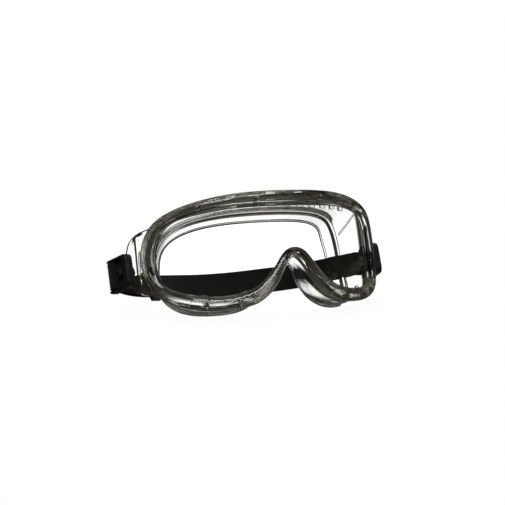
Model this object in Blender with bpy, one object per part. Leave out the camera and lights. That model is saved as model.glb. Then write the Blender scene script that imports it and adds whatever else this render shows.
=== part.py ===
"""Chemical-splash safety goggles: clear soft frame, curved panoramic lens,
two swivelling strap clips and an elastic headband.

World frame: +Z up, the lens looks towards -Y, the wearer's left is +X.
Z = 0 is the table the goggles rest on.  The frame leans back by PITCH, the
way it rests on its two cheek lobes.  Shapes are drawn in the goggles' own
frame (X across, Y back from the lens apex, Z up along the lens), in mm.
"""
import bpy
import bmesh
import math
import numpy as np
from collections import Counter
from mathutils import Vector
from mathutils.geometry import delaunay_2d_cdt

MM = 0.001
GAP = 0.3                      # clearance between separate pieces
SIDES = ((1, "left"), (-1, "right"))

# ------------------------------------------------------------ pose and lens
PITCH = -13.7                  # degrees, frame leaning back on the table
APEX = np.array([0, -48.0, 42.0])   # lens apex in the world, at the nose bridge
LENS_R = 104.5                 # radius of the cylinder the rim's face lies on
LENS_T = 2.0                   # lens thickness
LENS_SET = 2.0                 # lens front face behind the rim's face

# --------------------------------------------------------------- soft frame
GROOVE_D = 4.0                 # depth of the lens groove
GROOVE_MIN = 0.9
GROOVE_BACKING = 2.2           # rim left outside the groove
WALL_T = 1.6                   # side wall
WALL_INSET = 0.6               # wall's outer face inside the rim's outer edge
BEAD_D = 6.2                   # depth of the rim bead

# Stations round the wearer's left half (+X), from the middle of the brow (0)
# round the temple and the cheek lobe to the nose bridge (16).  Columns: X, Z
RIM_OUT = [
    (0, 43), (22, 43), (44, 42), (65.5, 38.5), (80, 32), (86.8, 22), (89.3, 9),
    (87.8, -6), (81.6, -20), (70.5, -27.6), (56, -31.2), (42, -31.7), (30, -30),
    (19.5, -23.8), (12, -15), (6.3, -5.8), (0, -0.8)]
RIM_IN = [
    (0, 32.4), (22, 32.5), (42, 32.3), (60.5, 30.6), (73.6, 27.2), (80.3, 18), (82.6, 6),
    (81.4, -6), (75.8, -14.8), (66, -19.5), (54, -22.5), (42, -22.5), (31, -19.8),
    (22, -13.8), (14.5, -5.8), (8, 2.2), (0, 5.2)]
# Rear edge of the wall, where the face seal starts, at the same stations.
# Columns: X, Z, depth Y, then the seal lip's step inwards and backwards
SEAL = [
    (0, 32.8, 26.5, 5, 9), (20, 32.8, 29.5, 5, 9), (39, 32.6, 39.5, 5.2, 9.5),
    (55, 30, 53, 5.8, 10), (65, 23, 63.5, 6, 9.5), (69.7, 13.5, 68.5, 6, 8),
    (71.5, 2.5, 70, 6, 7), (71.4, -9, 68.5, 6, 7), (68.3, -21, 62, 6.5, 8.5),
    (60, -29, 53, 7, 9), (49.5, -32, 43, 7, 8.5), (37.5, -32.5, 35, 6.5, 7.5),
    (26.5, -30, 30.5, 5, 5.5), (17.5, -24.3, 28, 3.6, 3.6), (10.2, -16, 24.5, 2.8, 2.6),
    (5, -8.2, 20.5, 2.4, 2.4), (0, -4.2, 16.5, 2.4, 2.4)]
FOLD_R = 1.5                   # bead at the fold between wall and lip
EDGE_R = 0.8                   # bead at the lip's edge
LIP_T = 1.2                    # lip thickness
SUB = 3                        # steps between two stations

# ------------------------------------------------- ears, pivots, strap size
EAR_T = 2.4                    # ear (strap lug) thickness
EAR_X, EAR_Y = 90.2, 52.0      # a point on the ear's flat outer face
FLARE = 0.25                   # the face's slope outwards, per mm backwards
FLARE_ANGLE = math.atan(FLARE)
FLARE_COS, FLARE_SIN = math.cos(FLARE_ANGLE), math.sin(FLARE_ANGLE)

PIVOT_Y, PIVOT_Z = 63.5, 1.2   # swivel axis of both clips (parallel to X)
RIVET_R = 2.0
BORE_R = RIVET_R + GAP
WASHER_T = 1.6                 # space between lug and clip, partly filled by the washer

STRAP_W, STRAP_T = 18.0, 1.5
STRAP_GAP = 0.45               # clearance round the webbing and between its layers


# ------------------------------------------------------------ scene helpers
def clear_scene():
    for ob in list(bpy.data.objects):
        bpy.data.objects.remove(ob, do_unlink=True)


def material(name, colour, rough, alpha=1.0):
    mat = bpy.data.materials.new(name)
    mat.use_nodes = True
    shader = mat.node_tree.nodes["Principled BSDF"]
    shader.inputs["Base Color"].default_value = (*colour, 1.0)
    shader.inputs["Roughness"].default_value = rough
    shader.inputs["Alpha"].default_value = alpha
    return mat


def make_materials():
    return {
        "frame": material("clear_pvc", colour=(0.86, 0.88, 0.86), rough=0.08, alpha=0.35),
        "lens": material("clear_lens", colour=(0.95, 0.97, 0.97), rough=0.02, alpha=0.2),
        "vent": material("clear_vent", colour=(0.82, 0.84, 0.82), rough=0.12, alpha=0.45),
        "nylon": material("black_nylon", colour=(0.022, 0.022, 0.022), rough=0.42),
        "webbing": material("black_elastic", colour=(0.025, 0.025, 0.022), rough=0.85),
        "pin": material("dark_pin", colour=(0.05, 0.05, 0.05), rough=0.35),
    }


def new_object(name, mesh, mat, parent=None, origin=(0, 0, 0), smooth=35.0):
    """mesh = (verts, faces) in mm in the parent's frame; origin in mm too.
    Edges sharper than smooth degrees are shaded sharp."""
    verts, faces = mesh
    centre = Vector(origin) * MM
    data = bpy.data.meshes.new(name)
    data.from_pydata([tuple(v[c] * MM - centre[c] for c in range(3)) for v in verts], [], faces)
    bm = bmesh.new()
    bm.from_mesh(data)
    bmesh.ops.remove_doubles(bm, verts=bm.verts, dist=1e-7)
    bmesh.ops.recalc_face_normals(bm, faces=bm.faces)
    bmesh.ops.triangulate(bm, faces=bm.faces)
    bm.to_mesh(data)
    bm.free()
    data.shade_smooth()
    data.set_sharp_from_angle(angle=math.radians(smooth))
    ob = bpy.data.objects.new(name, data)
    ob.location = centre
    ob.parent = parent
    if mat:
        data.materials.append(mat)
    bpy.context.scene.collection.objects.link(ob)
    return ob


def apply_tool(ob, name, mesh, parent, operation='DIFFERENCE'):
    """Boolean ob with a hidden helper object made from mesh."""
    tool = new_object(name, mesh, None, parent)
    tool.hide_render = True
    tool.display_type = 'WIRE'
    mod = ob.modifiers.new(name, 'BOOLEAN')
    mod.operation = operation
    mod.solver = 'EXACT'
    mod.object = tool


# ------------------------------------------------------------- mesh helpers
def merged(bodies):
    """Several separate closed bodies as one mesh."""
    all_verts, all_faces = [], []
    for verts, faces in bodies:
        offset = len(all_verts)
        all_verts += [tuple(v) for v in verts]
        all_faces += [tuple(k + offset for k in face) for face in faces]
    return all_verts, all_faces


def loft(rows, closed=True):
    """Quads between successive closed rows; closed joins the last to the first."""
    n, m = len(rows), len(rows[0])
    verts = [tuple(v) for row in rows for v in row]
    faces = []
    for i in range(n if closed else n - 1):
        here, there = i * m, (i + 1) % n * m
        for j in range(m):
            k = (j + 1) % m
            faces.append((here + j, there + j, there + k, here + k))
    return verts, faces


def capped(rows):
    """Open loft with a flat face on its first and last row."""
    verts, faces = loft(rows, closed=False)
    m, n = len(rows[0]), len(rows)
    faces.append(tuple(range(m - 1, -1, -1)))
    faces.append(tuple((n - 1) * m + j for j in range(m)))
    return verts, faces


def rod(start, end, radii, seg=20, ref=(0, 0, 1)):
    """Turned piece from start towards end; radii = [(distance, radius), ...].
    ref sets where the first vertex of each ring falls."""
    start = np.array(start, float)
    axis = unit(np.array(end, float) - start)
    across = unit(np.cross(axis, ref))
    other = np.cross(axis, across)
    turns = [2 * math.pi * k / seg for k in range(seg)]
    return capped([[start + axis * dist + radius * (across * math.cos(t) + other * math.sin(t))
                    for t in turns] for dist, radius in radii])


# ------------------------------------------------------- vectors and curves
def unit(v):
    return v / np.linalg.norm(v)


def square_to(v, axis):
    """Unit vector along the part of v perpendicular to the unit vector axis."""
    return unit(v - axis * np.dot(v, axis))


def path_direction(points, k):
    """Unit direction of the path at point k, from its neighbours."""
    return unit(points[min(k + 1, len(points) - 1)] - points[max(k - 1, 0)])


def periodic_spline(points, sub):
    """Smooth closed curve through the points, sub steps for each span."""
    p = np.array(points, float)
    n = len(p)
    system = np.zeros((n, n))
    for i in range(n):
        system[i, i] = 4.0
        system[i, (i + 1) % n] = system[i, (i - 1) % n] = 1.0
    slope = np.linalg.solve(system, 3.0 * (np.roll(p, -1, 0) - np.roll(p, 1, 0)))
    out = []
    for i in range(n):
        j = (i + 1) % n
        for k in range(sub):
            t = k / sub
            out.append((2 * t**3 - 3 * t**2 + 1) * p[i] + (t**3 - 2 * t**2 + t) * slope[i]
                       + (3 * t**2 - 2 * t**3) * p[j] + (t**3 - t**2) * slope[j])
    return np.array(out)


def open_spline(points, step):
    """Centripetal Catmull-Rom curve through the points, about step apart.
    Columns after the third are carried along."""
    def length(start, end):
        return np.linalg.norm((end - start)[:3])

    def blend(start, end, t_start, t_end, t):
        span = t_end - t_start
        return (t_end - t) / span * start + (t - t_start) / span * end

    p = [np.array(q, float) for q in points]
    p = [2 * p[0] - p[1]] + p + [2 * p[-1] - p[-2]]
    out = []
    for p0, p1, p2, p3 in zip(p, p[1:], p[2:], p[3:]):
        t0 = 0.0
        t1 = t0 + max(length(p0, p1), 1e-6) ** 0.5
        t2 = t1 + max(length(p1, p2), 1e-6) ** 0.5
        t3 = t2 + max(length(p2, p3), 1e-6) ** 0.5
        n = max(1, int(round(length(p1, p2) / step)))
        for k in range(n):
            t = t1 + (t2 - t1) * k / n
            a1 = blend(p0, p1, t0, t1, t)
            a2 = blend(p1, p2, t1, t2, t)
            a3 = blend(p2, p3, t2, t3, t)
            b1 = blend(a1, a2, t0, t2, t)
            b2 = blend(a2, a3, t1, t3, t)
            out.append(blend(b1, b2, t1, t2, t))
    out.append(p[-2])
    return np.array(out)


def mirrored_loop(half):
    """Half outline from the brow to the nose, closed by its mirror image."""
    return half + [(-q[0],) + tuple(q[1:]) for q in half[-2:0:-1]]


# ------------------------------------------------------------- coordinates
def to_world(p):
    """World position of a point in the goggles' own frame."""
    cos, sin = math.cos(math.radians(PITCH)), math.sin(math.radians(PITCH))
    return APEX + np.array([p[0], p[1] * cos - p[2] * sin, p[1] * sin + p[2] * cos])


def on_lens(s, z, forward):
    """Point at arc length s and height z, in front of the rim's face."""
    angle = s / LENS_R
    radius = LENS_R + forward
    return np.array([radius * math.sin(angle), LENS_R - radius * math.cos(angle), z])


def arc(x):
    """Arc length round the rim's face from the middle to x."""
    return LENS_R * math.asin(x / LENS_R)


def ear_outer(y):
    """X of the ear's flat outer face."""
    return EAR_X + FLARE * (y - EAR_Y)


# -------------------------------------------------- outline of the soft frame
rim_out = periodic_spline(mirrored_loop(RIM_OUT), SUB)
rim_in = periodic_spline(mirrored_loop(RIM_IN), SUB)
seal = periodic_spline(mirrored_loop(SEAL), SUB)
seal_edge = seal[:, [0, 2, 1]]             # wall's rear edge as X, Y, Z
N = len(rim_out)


def rim_frame(i):
    """At outline point i: arc/height of the inner edge, unit step outwards, width."""
    s_out, z_out = arc(rim_out[i][0]), rim_out[i][1]
    s_in, z_in = arc(rim_in[i][0]), rim_in[i][1]
    width = math.hypot(s_out - s_in, z_out - z_in)
    return (s_in, z_in), ((s_out - s_in) / width, (z_out - z_in) / width), width


def rim_width(i):
    return rim_frame(i)[2]


def rim_point(i, out, forward):
    """Point out from the rim's inner edge, in front of its face."""
    (s, z), (ds, dz), _ = rim_frame(i)
    return on_lens(s + out * ds, z + out * dz, forward)


def wall_start(i):
    """Where the wall's outer face leaves the bead."""
    return rim_point(i, rim_width(i) - WALL_INSET, -BEAD_D)


def groove_depth(i):
    return max(GROOVE_MIN, min(GROOVE_D, rim_width(i) - GROOVE_BACKING))


def seal_inner(i):
    """Inner edge of the seal lip: stepped inwards across the face."""
    # the loop runs clockwise seen from the front, so inwards is to its right
    along = seal[(i + 1) % N] - seal[(i - 1) % N]
    inwards = unit(np.array([along[1], -along[0]]))
    x, z, y, step_in, step_back = seal[i]
    return np.array([x + inwards[0] * step_in, y + step_back, z + inwards[1] * step_in])


def between(place, fn):
    """Value of fn at a fractional outline point."""
    i = math.floor(place)
    f = place - i
    return fn(i % N) * (1 - f) + fn((i + 1) % N) * f


def rim_between(place, out, forward):
    return between(place, lambda i: rim_point(i, out, forward))


# --------------------------------------------------------------- frame body
def profile(i):
    """Closed cross-section of the soft frame at outline point i."""
    def at(out, forward):
        return rim_point(i, out, forward)

    width = rim_width(i)
    groove = groove_depth(i)
    groove_front = LENS_SET - GAP
    groove_rear = LENS_SET + LENS_T + GAP
    fold, lip_end = seal_edge[i], seal_inner(i)
    wall_out = wall_start(i)
    wall_in = at(width - WALL_INSET - WALL_T, -BEAD_D)
    wall = fold - wall_out

    # rim face, bead, then the outer face of the wall
    points = [
        at(0.0, -groove_front), at(0.0, -0.9), at(0.12 * width, 0.2), at(0.35 * width, 1.2),
        at(0.62 * width, 1.3), at(0.86 * width, 0.4), at(width, -1.3), at(width - 0.1, -3.8),
        wall_out, wall_out + wall * 0.36, wall_out + wall * 0.72]

    # bead at the fold: centred on the wall's thickness, standing proud of it;
    # both beads shrink where the lip is narrow
    run = unit(wall)
    inward = square_to(wall_in - wall_out, run)
    scale = min(1.0, max(0.6, np.linalg.norm(lip_end - fold) / 8.0))
    fold_r = FOLD_R * scale
    edge_r = EDGE_R * max(0.75, scale)
    fold_mid = fold + inward * WALL_T / 2 - run * fold_r
    lip_dir = unit(lip_end - fold_mid)
    edge_mid = lip_end - lip_dir * edge_r
    face = square_to(run - inward, lip_dir)            # normal of the lip's outer face
    half = face * LIP_T / 2
    lip_start = fold_mid + lip_dir * (fold_r + 0.25)
    lip_stop = edge_mid - lip_dir * (edge_r + 0.1)
    points += [
        fold_mid + fold_r * (-0.75 * inward - 0.66 * run),
        fold_mid - fold_r * inward,
        fold_mid + fold_r * (-0.7 * inward + 0.7 * run),
        lip_start + half,
        lip_stop + half,
        edge_mid + face * edge_r,
        edge_mid + 0.7 * edge_r * (face + lip_dir),
        edge_mid + lip_dir * edge_r,
        edge_mid + 0.7 * edge_r * (lip_dir - face),
        edge_mid - face * edge_r,
        lip_stop - half,
        lip_start - half,
        fold_mid + fold_r * inward,
        fold_mid + fold_r * (0.75 * inward - 0.66 * run)]

    # inner face of the wall, back of the rim and the lens groove
    inner_run = fold_mid - run * (fold_r * 1.3) + inward * WALL_T / 2 - wall_in
    corner = min(1.2, 0.3 * groove)
    points += [
        wall_in + inner_run * 0.66, wall_in + inner_run * 0.32,
        wall_in + (at(0, -BEAD_D) - at(1, -BEAD_D)) * 0.35,
        at(corner + 0.4, -BEAD_D - 0.1), at(corner, -BEAD_D + 0.5),
        at(corner, -groove_rear), at(groove, -groove_rear), at(groove, -groove_front)]
    return points


# ---------------------------------------------------------------- strap lugs
EAR_ROOT = [                   # start on the rim: X, Z
    (82.2, 29.0), (84.8, 23.3), (86.6, 15), (87.0, 8),
    (86.6, 1), (85.6, -6), (83.5, -12.5), (79.5, -20)]
EAR_TIP = [                    # rear edge: Y, Z
    (49.0, 25.2), (60.0, 20.4), (64.0, 14.8), (66.4, 8),
    (66.8, 1.5), (66.2, -5), (60, -11), (46, -17)]
EAR_ROWS = 13
EAR_STEP = 3.4                 # spacing of the smoothed ear outlines
EAR_FLAT_Y = 53.5              # the lug is flat behind this depth
EAR_OVERLAP = 2.6              # arc length by which the root starts inside the bead
EAR_ROOT_R = LENS_R - 1.0
FLARE_FROM, FLARE_OVER = 44.0, 9.0   # tip depths over which the flare sets in


def resampled(points, count):
    """Smoothed outline as count evenly spaced samples."""
    curve = open_spline(points, EAR_STEP)
    wanted, given = np.linspace(0, 1, count), np.linspace(0, 1, len(curve))
    return np.column_stack([np.interp(wanted, given, curve[:, c]) for c in (0, 1)])


def ear_row(root, tip):
    """Closed section from the rim to the rear edge: outer face, then inner."""
    root_x, root_z = root
    angle = math.asin(root_x / LENS_R) - EAR_OVERLAP / LENS_R
    tangent = np.array([math.cos(angle), math.sin(angle), 0])
    start = np.array([EAR_ROOT_R * math.sin(angle), LENS_R - EAR_ROOT_R * math.cos(angle), root_z])
    tip_y, tip_z = max(tip[0], start[1] + 4.0), tip[1]
    join_y = min(EAR_FLAT_Y, tip_y - 1.5)
    join_z = root_z + (tip_z - root_z) * (join_y - start[1]) / (tip_y - start[1])
    flared = min(1.0, max(0.0, (tip_y - FLARE_FROM) / FLARE_OVER))
    flared = flared * flared * (3 - 2 * flared)

    def lug_x(y):
        """On the flared plane near the clip, on the rim's curve near the rim."""
        rim_x = math.sqrt(max(0.0, EAR_ROOT_R * EAR_ROOT_R - (LENS_R - y)**2))
        return ear_outer(y) * flared + rim_x * (1 - flared)

    join = np.array([lug_x(join_y), join_y, join_z])
    end = np.array([lug_x(tip_y), tip_y, tip_z])
    bend = start + tangent * np.linalg.norm(join - start) * 0.45
    bend[2] = (start[2] + join[2]) / 2
    flat = np.array([FLARE_COS, -FLARE_SIN, 0])        # outward normal of the flared plane

    outer, inner = [], []
    for t in (0.0, 0.3, 0.6, 0.85):
        point = (1 - t)**2 * start + 2 * t * (1 - t) * bend + t * t * join
        along = 2 * (1 - t) * (bend - start) + 2 * t * (join - bend)
        normal = unit(np.array([along[1], -along[0], 0]))
        normal = unit(normal * (1 - t) + flat * t)
        outer.append(point)
        inner.append(point - normal * EAR_T)
    for t in (0.0, 0.5, 1.0):
        point = join * (1 - t) + end * t
        outer.append(point)
        inner.append(point - flat * EAR_T)
    return outer + inner[::-1]


def ear(side):
    """Curved lug: leaves the rim along the lens curve, then flares to the clip."""
    roots, tips = resampled(EAR_ROOT, EAR_ROWS), resampled(EAR_TIP, EAR_ROWS)
    verts, faces = capped([ear_row(root, tip) for root, tip in zip(roots, tips)])
    return [(side * x, y, z) for x, y, z in verts], faces


def swivel_hole(side):
    x_in, x_out = 80, 104
    return rod((side * x_in, PIVOT_Y, PIVOT_Z), (side * x_out, PIVOT_Y, PIVOT_Z),
               [(0, BORE_R), (x_out - x_in, BORE_R)])


# ------------------------------------------------------------ vent openings
SLOT_STATIONS = (0.47, 1.70, 2.15, 9.15, 10.5, 11.85)  # brow, then cheek; both sides
SLOT_HALF = 0.2                # half length, in stations
SLOT_SPAN = (0.18, 0.28)       # fractions of the way back along the wall
SLOT_REACH = 4.0               # cutter either side of the wall's outer face


def wall_slot(middle):
    """Cutter through the wall, centred on a station."""
    rows = []
    for offset in (-SLOT_HALF, 0, SLOT_HALF):
        place = (middle + offset) * SUB
        start = between(place, wall_start)
        wall = between(place, lambda i: seal_edge[i]) - start
        front, rear = (start + wall * t for t in SLOT_SPAN)
        along = rim_between(place + 1, 5, -BEAD_D) - rim_between(place - 1, 5, -BEAD_D)
        reach = unit(np.cross(wall, along)) * SLOT_REACH
        rows.append([front + reach, rear + reach, rear - reach, front - reach])
    return capped(rows)


def build_frame(mats, lean, stud_holes):
    body = new_object("frame_body", loft([profile(i) for i in range(N)]), mats["frame"], lean)
    apply_tool(body, "lugs", merged([ear(side) for side, _ in SIDES]), lean, 'UNION')
    cuts = [swivel_hole(side) for side, _ in SIDES]
    cuts += [wall_slot(sign * k) for k in SLOT_STATIONS for sign in (1, -1)]
    apply_tool(body, "frame_cuts", merged(cuts + stud_holes), lean)


# --------------------------------------------------------------------- lens
LENS_EDGE_GAP = 0.4            # lens edge short of the groove's bottom
GRID = 11.0                    # spacing of the mesh points inside the lens
GRID_MARGIN = 5.0              # kept clear of the lens edge


def well_inside(s, z, edge):
    """Inside the edge and more than GRID_MARGIN from its points."""
    inside = False
    nearest = 1e9
    for k in range(N):
        (s1, z1), (s2, z2) = edge[k], edge[(k + 1) % N]
        nearest = min(nearest, math.hypot(s - s1, z - z1))
        if (z1 > z) != (z2 > z) and s < (s2 - s1) * (z - z1) / (z2 - z1) + s1:
            inside = not inside
    return inside and nearest > GRID_MARGIN


def lens_mesh():
    """Flat triangulation in arc length and height, wrapped on the cylinder."""
    edge = []
    for i in range(N):
        (s, z), (ds, dz), _ = rim_frame(i)
        out = groove_depth(i) - LENS_EDGE_GAP
        edge.append((s + ds * out, z + dz * out))
    grid = [(float(s), float(z))
            for s in np.arange(-88, 88.1, GRID) for z in np.arange(-22, 30, GRID * 0.9)
            if well_inside(s, z, edge)]
    border = [(k, (k + 1) % N) for k in range(N)]
    # output type 1: only the triangles inside the edge; 1e-6 is the tolerance
    points, _, tris, _, _, _ = delaunay_2d_cdt(
        [Vector(p) for p in edge + grid], border, [list(range(N))], 1, 1e-6)
    m = len(points)
    verts = [tuple(on_lens(p[0], p[1], -set_back))
             for set_back in (LENS_SET, LENS_SET + LENS_T) for p in points]
    faces = [tuple(tri) for tri in tris] + [tuple(m + k for k in reversed(tri)) for tri in tris]
    # an edge used once lies on the border and gets a side face
    edges = [(tri[k], tri[(k + 1) % len(tri)]) for tri in tris for k in range(len(tri))]
    uses = Counter(frozenset(e) for e in edges)
    faces += [(b, a, m + a, m + b) for a, b in edges if uses[frozenset((a, b))] == 1]
    return verts, faces


# ------------------------------------------------------------- vent baffles
BAFFLE_FRONT, BAFFLE_REAR = BEAD_D + 0.35, BEAD_D + 1.65   # faces of a baffle strip
BAFFLE_LOW = 2.6               # inner edge between teeth, out from the rim's inner edge
# name, first station, last station, teeth, tooth length
BAFFLES = (
    ("top_vent_baffle", -2.8, 2.8, 11, 3.4),
    ("bottom_vent_baffle_left", 9.05, 11.95, 5, 3.2),
    ("bottom_vent_baffle_right", -11.95, -9.05, 5, 3.2),
)


def comb_places(first, last, teeth):
    """Pairs of outline points, almost touching, so each tooth has upright flanks."""
    out = []
    n = teeth * 2 + 1
    for m in range(n):
        out += [first + (last - first) * m / n + 0.05, first + (last - first) * (m + 1) / n - 0.05]
    return out


def baffle(places, tooth):
    """Comb strip behind the bead; teeth reach past the groove's rear lip."""
    rows = []
    for n, place in enumerate(places):
        low = BAFFLE_LOW - (tooth if (n // 2) % 2 else 0.0)
        width = between(place, rim_width)
        corners = ((low, BAFFLE_FRONT), (width - 3.0, BAFFLE_FRONT),
                   (width - 3.45, BAFFLE_REAR), (low, BAFFLE_REAR))
        rows.append([rim_between(place, out, -back) for out, back in corners])
    return capped(rows)


def build_baffles(mats, lean, studs):
    for name, first, last, teeth, tooth in BAFFLES:
        strip = baffle(comb_places(first * SUB, last * SUB, teeth), tooth)
        ob = new_object(name, strip, mats["vent"], lean)
        holes = [stud_hole(place) for _, place, host in studs if host == name]
        apply_tool(ob, name + "_holes", merged(holes), lean)


# --------------------------------------------------------------- vent studs
STUD_R, STUD_HEAD_R = 0.85, 1.7
STUD_OUT = 5.25                # out from the rim's inner edge
STUD_START = 4.0               # stud distances count back from here, before the rim's face
STUD_SEAT = 3.9                # bottom of the seat for the head
HEAD_REAR = 3.6                # rear of the stud's head
TOP_STUDS = (("inner", 12.8), ("outer", 35.0))         # degrees from the middle
BOTTOM_STUDS = (("inner", 11.25), ("outer", 9.75))     # stations


def brow_place(angle):
    """Fractional outline point on the brow at an angle round the lens."""
    s = math.radians(angle) * LENS_R
    for i in range(6 * SUB):
        s0, s1 = arc(rim_out[i][0]), arc(rim_out[i + 1][0])
        if s0 <= s <= s1:
            return i + (s - s0) / (s1 - s0)


def list_studs():
    """(name, outline point, baffle it goes through) of every stud."""
    studs = []
    for kind, angle in TOP_STUDS:
        for side, tag in SIDES:
            studs.append(("vent_stud_top_%s_%s" % (kind, tag),
                          side * brow_place(angle), "top_vent_baffle"))
    for kind, at_station in BOTTOM_STUDS:
        for side, tag in SIDES:
            studs.append(("vent_stud_bottom_%s_%s" % (kind, tag),
                          side * at_station * SUB, "bottom_vent_baffle_" + tag))
    return studs


def stud_rod(place, radii):
    """Turned piece running back through the bead."""
    return rod(rim_between(place, STUD_OUT, STUD_START), rim_between(place, STUD_OUT, -16.0),
               radii, seg=12, ref=(0.1, 0, 1))


def stud_hole(place):
    """Shank hole through the bead and the strip, with a seat for the head."""
    head, shank = STUD_HEAD_R + GAP, STUD_R + GAP
    return stud_rod(place, [(0.0, head), (STUD_SEAT, head), (STUD_SEAT, shank),
                            (STUD_START + BAFFLE_REAR + 1.0, shank)])


def stud(place):
    tip = STUD_START + BAFFLE_REAR + 0.4               # just behind the strip
    return stud_rod(place, [
        (2.35, STUD_HEAD_R * 0.62), (2.6, STUD_HEAD_R * 0.9), (2.9, STUD_HEAD_R),
        (HEAD_REAR, STUD_HEAD_R), (HEAD_REAR, STUD_R), (tip - 0.6, STUD_R), (tip, STUD_R * 0.7)])


# -------------------------------------------------------------- strap clips
CLIP_L, CLIP_H, CLIP_T = 23.6, 22.8, 5.4
CLIP_TILT = -6.0               # the clips rest with their front end up
CLIP_FRONT = -9.9              # front edge of the clip, measured from the pivot
CLIP_REAR = CLIP_FRONT + CLIP_L
CLIP_CHAMFER = 1.1
CLIP_ORIGIN_OUT = 3.0          # object origin outside the clip's inner face
CLIP_IN_X = ear_outer(PIVOT_Y) + WASHER_T      # clip's inner face on the pivot axis
SLOT_FRONT, SLOT_REAR = 4.7, 7.2       # strap slot
BAR_REAR = 10.5                # rear of the bar behind the slot
OPEN = STRAP_W / 2 + 0.4       # half height of the strap opening
WELL_FLOOR = 2.4
# Cut from the clip in this order: name, front, rear, half height,
# (front, rear) corner radii, steps per corner, inner and outer end
CLIP_CUTS = (
    ("recess", -4.9, BAR_REAR + 2, OPEN + 0.25, (1.4, 0.2), 3, 4.1, 9.0),
    ("well", -4.6, 5.6, OPEN, (1.4, 0.2), 3, WELL_FLOOR, 8.0),
    ("slot", SLOT_FRONT, SLOT_REAR, OPEN - 0.15, (0.3, 0.3), 2, -2.0, 7.0),
    ("under", SLOT_REAR - 1, BAR_REAR + 1.5, OPEN - 0.05, (0.2, 0.2), 2, -3.0, 1.55),
    # behind the bar only the two cheeks go on
    ("rear", BAR_REAR, CLIP_REAR + 5, OPEN + 0.35, (0.2, 0.2), 2, -5.0, 11.0),
)


def clip_point(side, back, out, up):
    """Point in the clip's directions from the pivot, in the goggles' frame."""
    x = side * (CLIP_IN_X + back * FLARE_SIN + out * FLARE_COS)
    y = back * FLARE_COS - out * FLARE_SIN
    tilt = math.radians(CLIP_TILT)
    return (x, PIVOT_Y + y * math.cos(tilt) - up * math.sin(tilt),
            PIVOT_Z + y * math.sin(tilt) + up * math.cos(tilt))


def rounded_outline(front, rear, half, radii, seg):
    """Rectangle (back, up) with its own corner radius in front and at the rear."""
    rf, rr = radii
    corners = ((front + rf, rf - half, rf, 180), (rear - rr, rr - half, rr, 270),
               (rear - rr, half - rr, rr, 0), (front + rf, half - rf, rf, 90))
    out = []
    for back, up, radius, start in corners:
        for k in range(seg + 1):
            t = math.radians(start + 90.0 * k / seg)
            out.append((back + radius * math.cos(t), up + radius * math.sin(t)))
    return out


def clip_prism(side, outline, inner, outer, chamfer=0.0):
    """Outline (back, up) extruded outwards, optionally chamfered at the outer end."""
    def pulled_in(value, middle, inset):
        d = value - middle
        return middle + math.copysign(max(0.0, abs(d) - inset), d)

    mid_back = sum(p[0] for p in outline) / len(outline)
    mid_up = sum(p[1] for p in outline) / len(outline)
    levels = [(inner, 0.0), (outer, chamfer)]
    if chamfer:
        levels[1:1] = [(outer - chamfer, 0.0), (outer - 0.3 * chamfer, 0.3 * chamfer)]
    return capped([[clip_point(side, pulled_in(back, mid_back, inset), out,
                               pulled_in(up, mid_up, inset)) for back, up in outline]
                   for out, inset in levels])


def build_clip(side, tag, mats, lean):
    outline = rounded_outline(CLIP_FRONT, CLIP_REAR, CLIP_H / 2, (4.2, 1.6), 5)
    clip = new_object("strap_clip_" + tag, clip_prism(side, outline, 0.0, CLIP_T, CLIP_CHAMFER),
                      mats["nylon"], lean, smooth=30,
                      origin=(side * (CLIP_IN_X + CLIP_ORIGIN_OUT), PIVOT_Y, PIVOT_Z))
    for name, front, rear, half, radii, seg, inner, outer in CLIP_CUTS:
        outline = rounded_outline(front, rear, half, radii, seg)
        apply_tool(clip, "clip_%s_%s" % (name, tag), clip_prism(side, outline, inner, outer), lean)
    bore = rod((side * (CLIP_IN_X - 4), PIVOT_Y, PIVOT_Z),
               (side * (CLIP_IN_X + 8), PIVOT_Y, PIVOT_Z), [(0, BORE_R), (12, BORE_R)])
    apply_tool(clip, "clip_bore_" + tag, bore, lean)


# ------------------------------------------------------------- pivot pieces
RIVET_HEAD_T = 1.4
RIVET_HEAD_X = CLIP_IN_X + WELL_FLOOR + 1.3    # underside of the head
RIVET_PAST_EAR = 3.2           # shank beyond the ear's inner face
EAR_IN_X = ear_outer(PIVOT_Y) - EAR_T / FLARE_COS      # ear's inner face on the axis
# name, inner X, outer X, radius, share of the flare on inner and outer end
PIVOT_RINGS = (
    # spacer between lug and clip
    ("pivot_washer_", ear_outer(PIVOT_Y) + 0.1, CLIP_IN_X - 0.65, 3.9, 1, 1),
    # cap round the rivet's inner end
    ("rivet_cap_", EAR_IN_X - 2.4, EAR_IN_X - GAP - 0.05, 3.6, 0, 1),
)


def build_rivet(side, tag, mats, lean):
    """Head in the clip's well, shank through clip, washer, lug and cap."""
    shank_end = RIVET_HEAD_T + RIVET_HEAD_X - EAR_IN_X + RIVET_PAST_EAR
    rivet = rod((side * (RIVET_HEAD_X + RIVET_HEAD_T), PIVOT_Y, PIVOT_Z),
                (side * 80, PIVOT_Y, PIVOT_Z),
                [(0, 2.3), (0.5, 3.2), (RIVET_HEAD_T, 3.4), (RIVET_HEAD_T, RIVET_R),
                 (shank_end, RIVET_R)])
    new_object("clip_rivet_" + tag, rivet, mats["pin"], lean,
               origin=(side * RIVET_HEAD_X, PIVOT_Y, PIVOT_Z))


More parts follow.
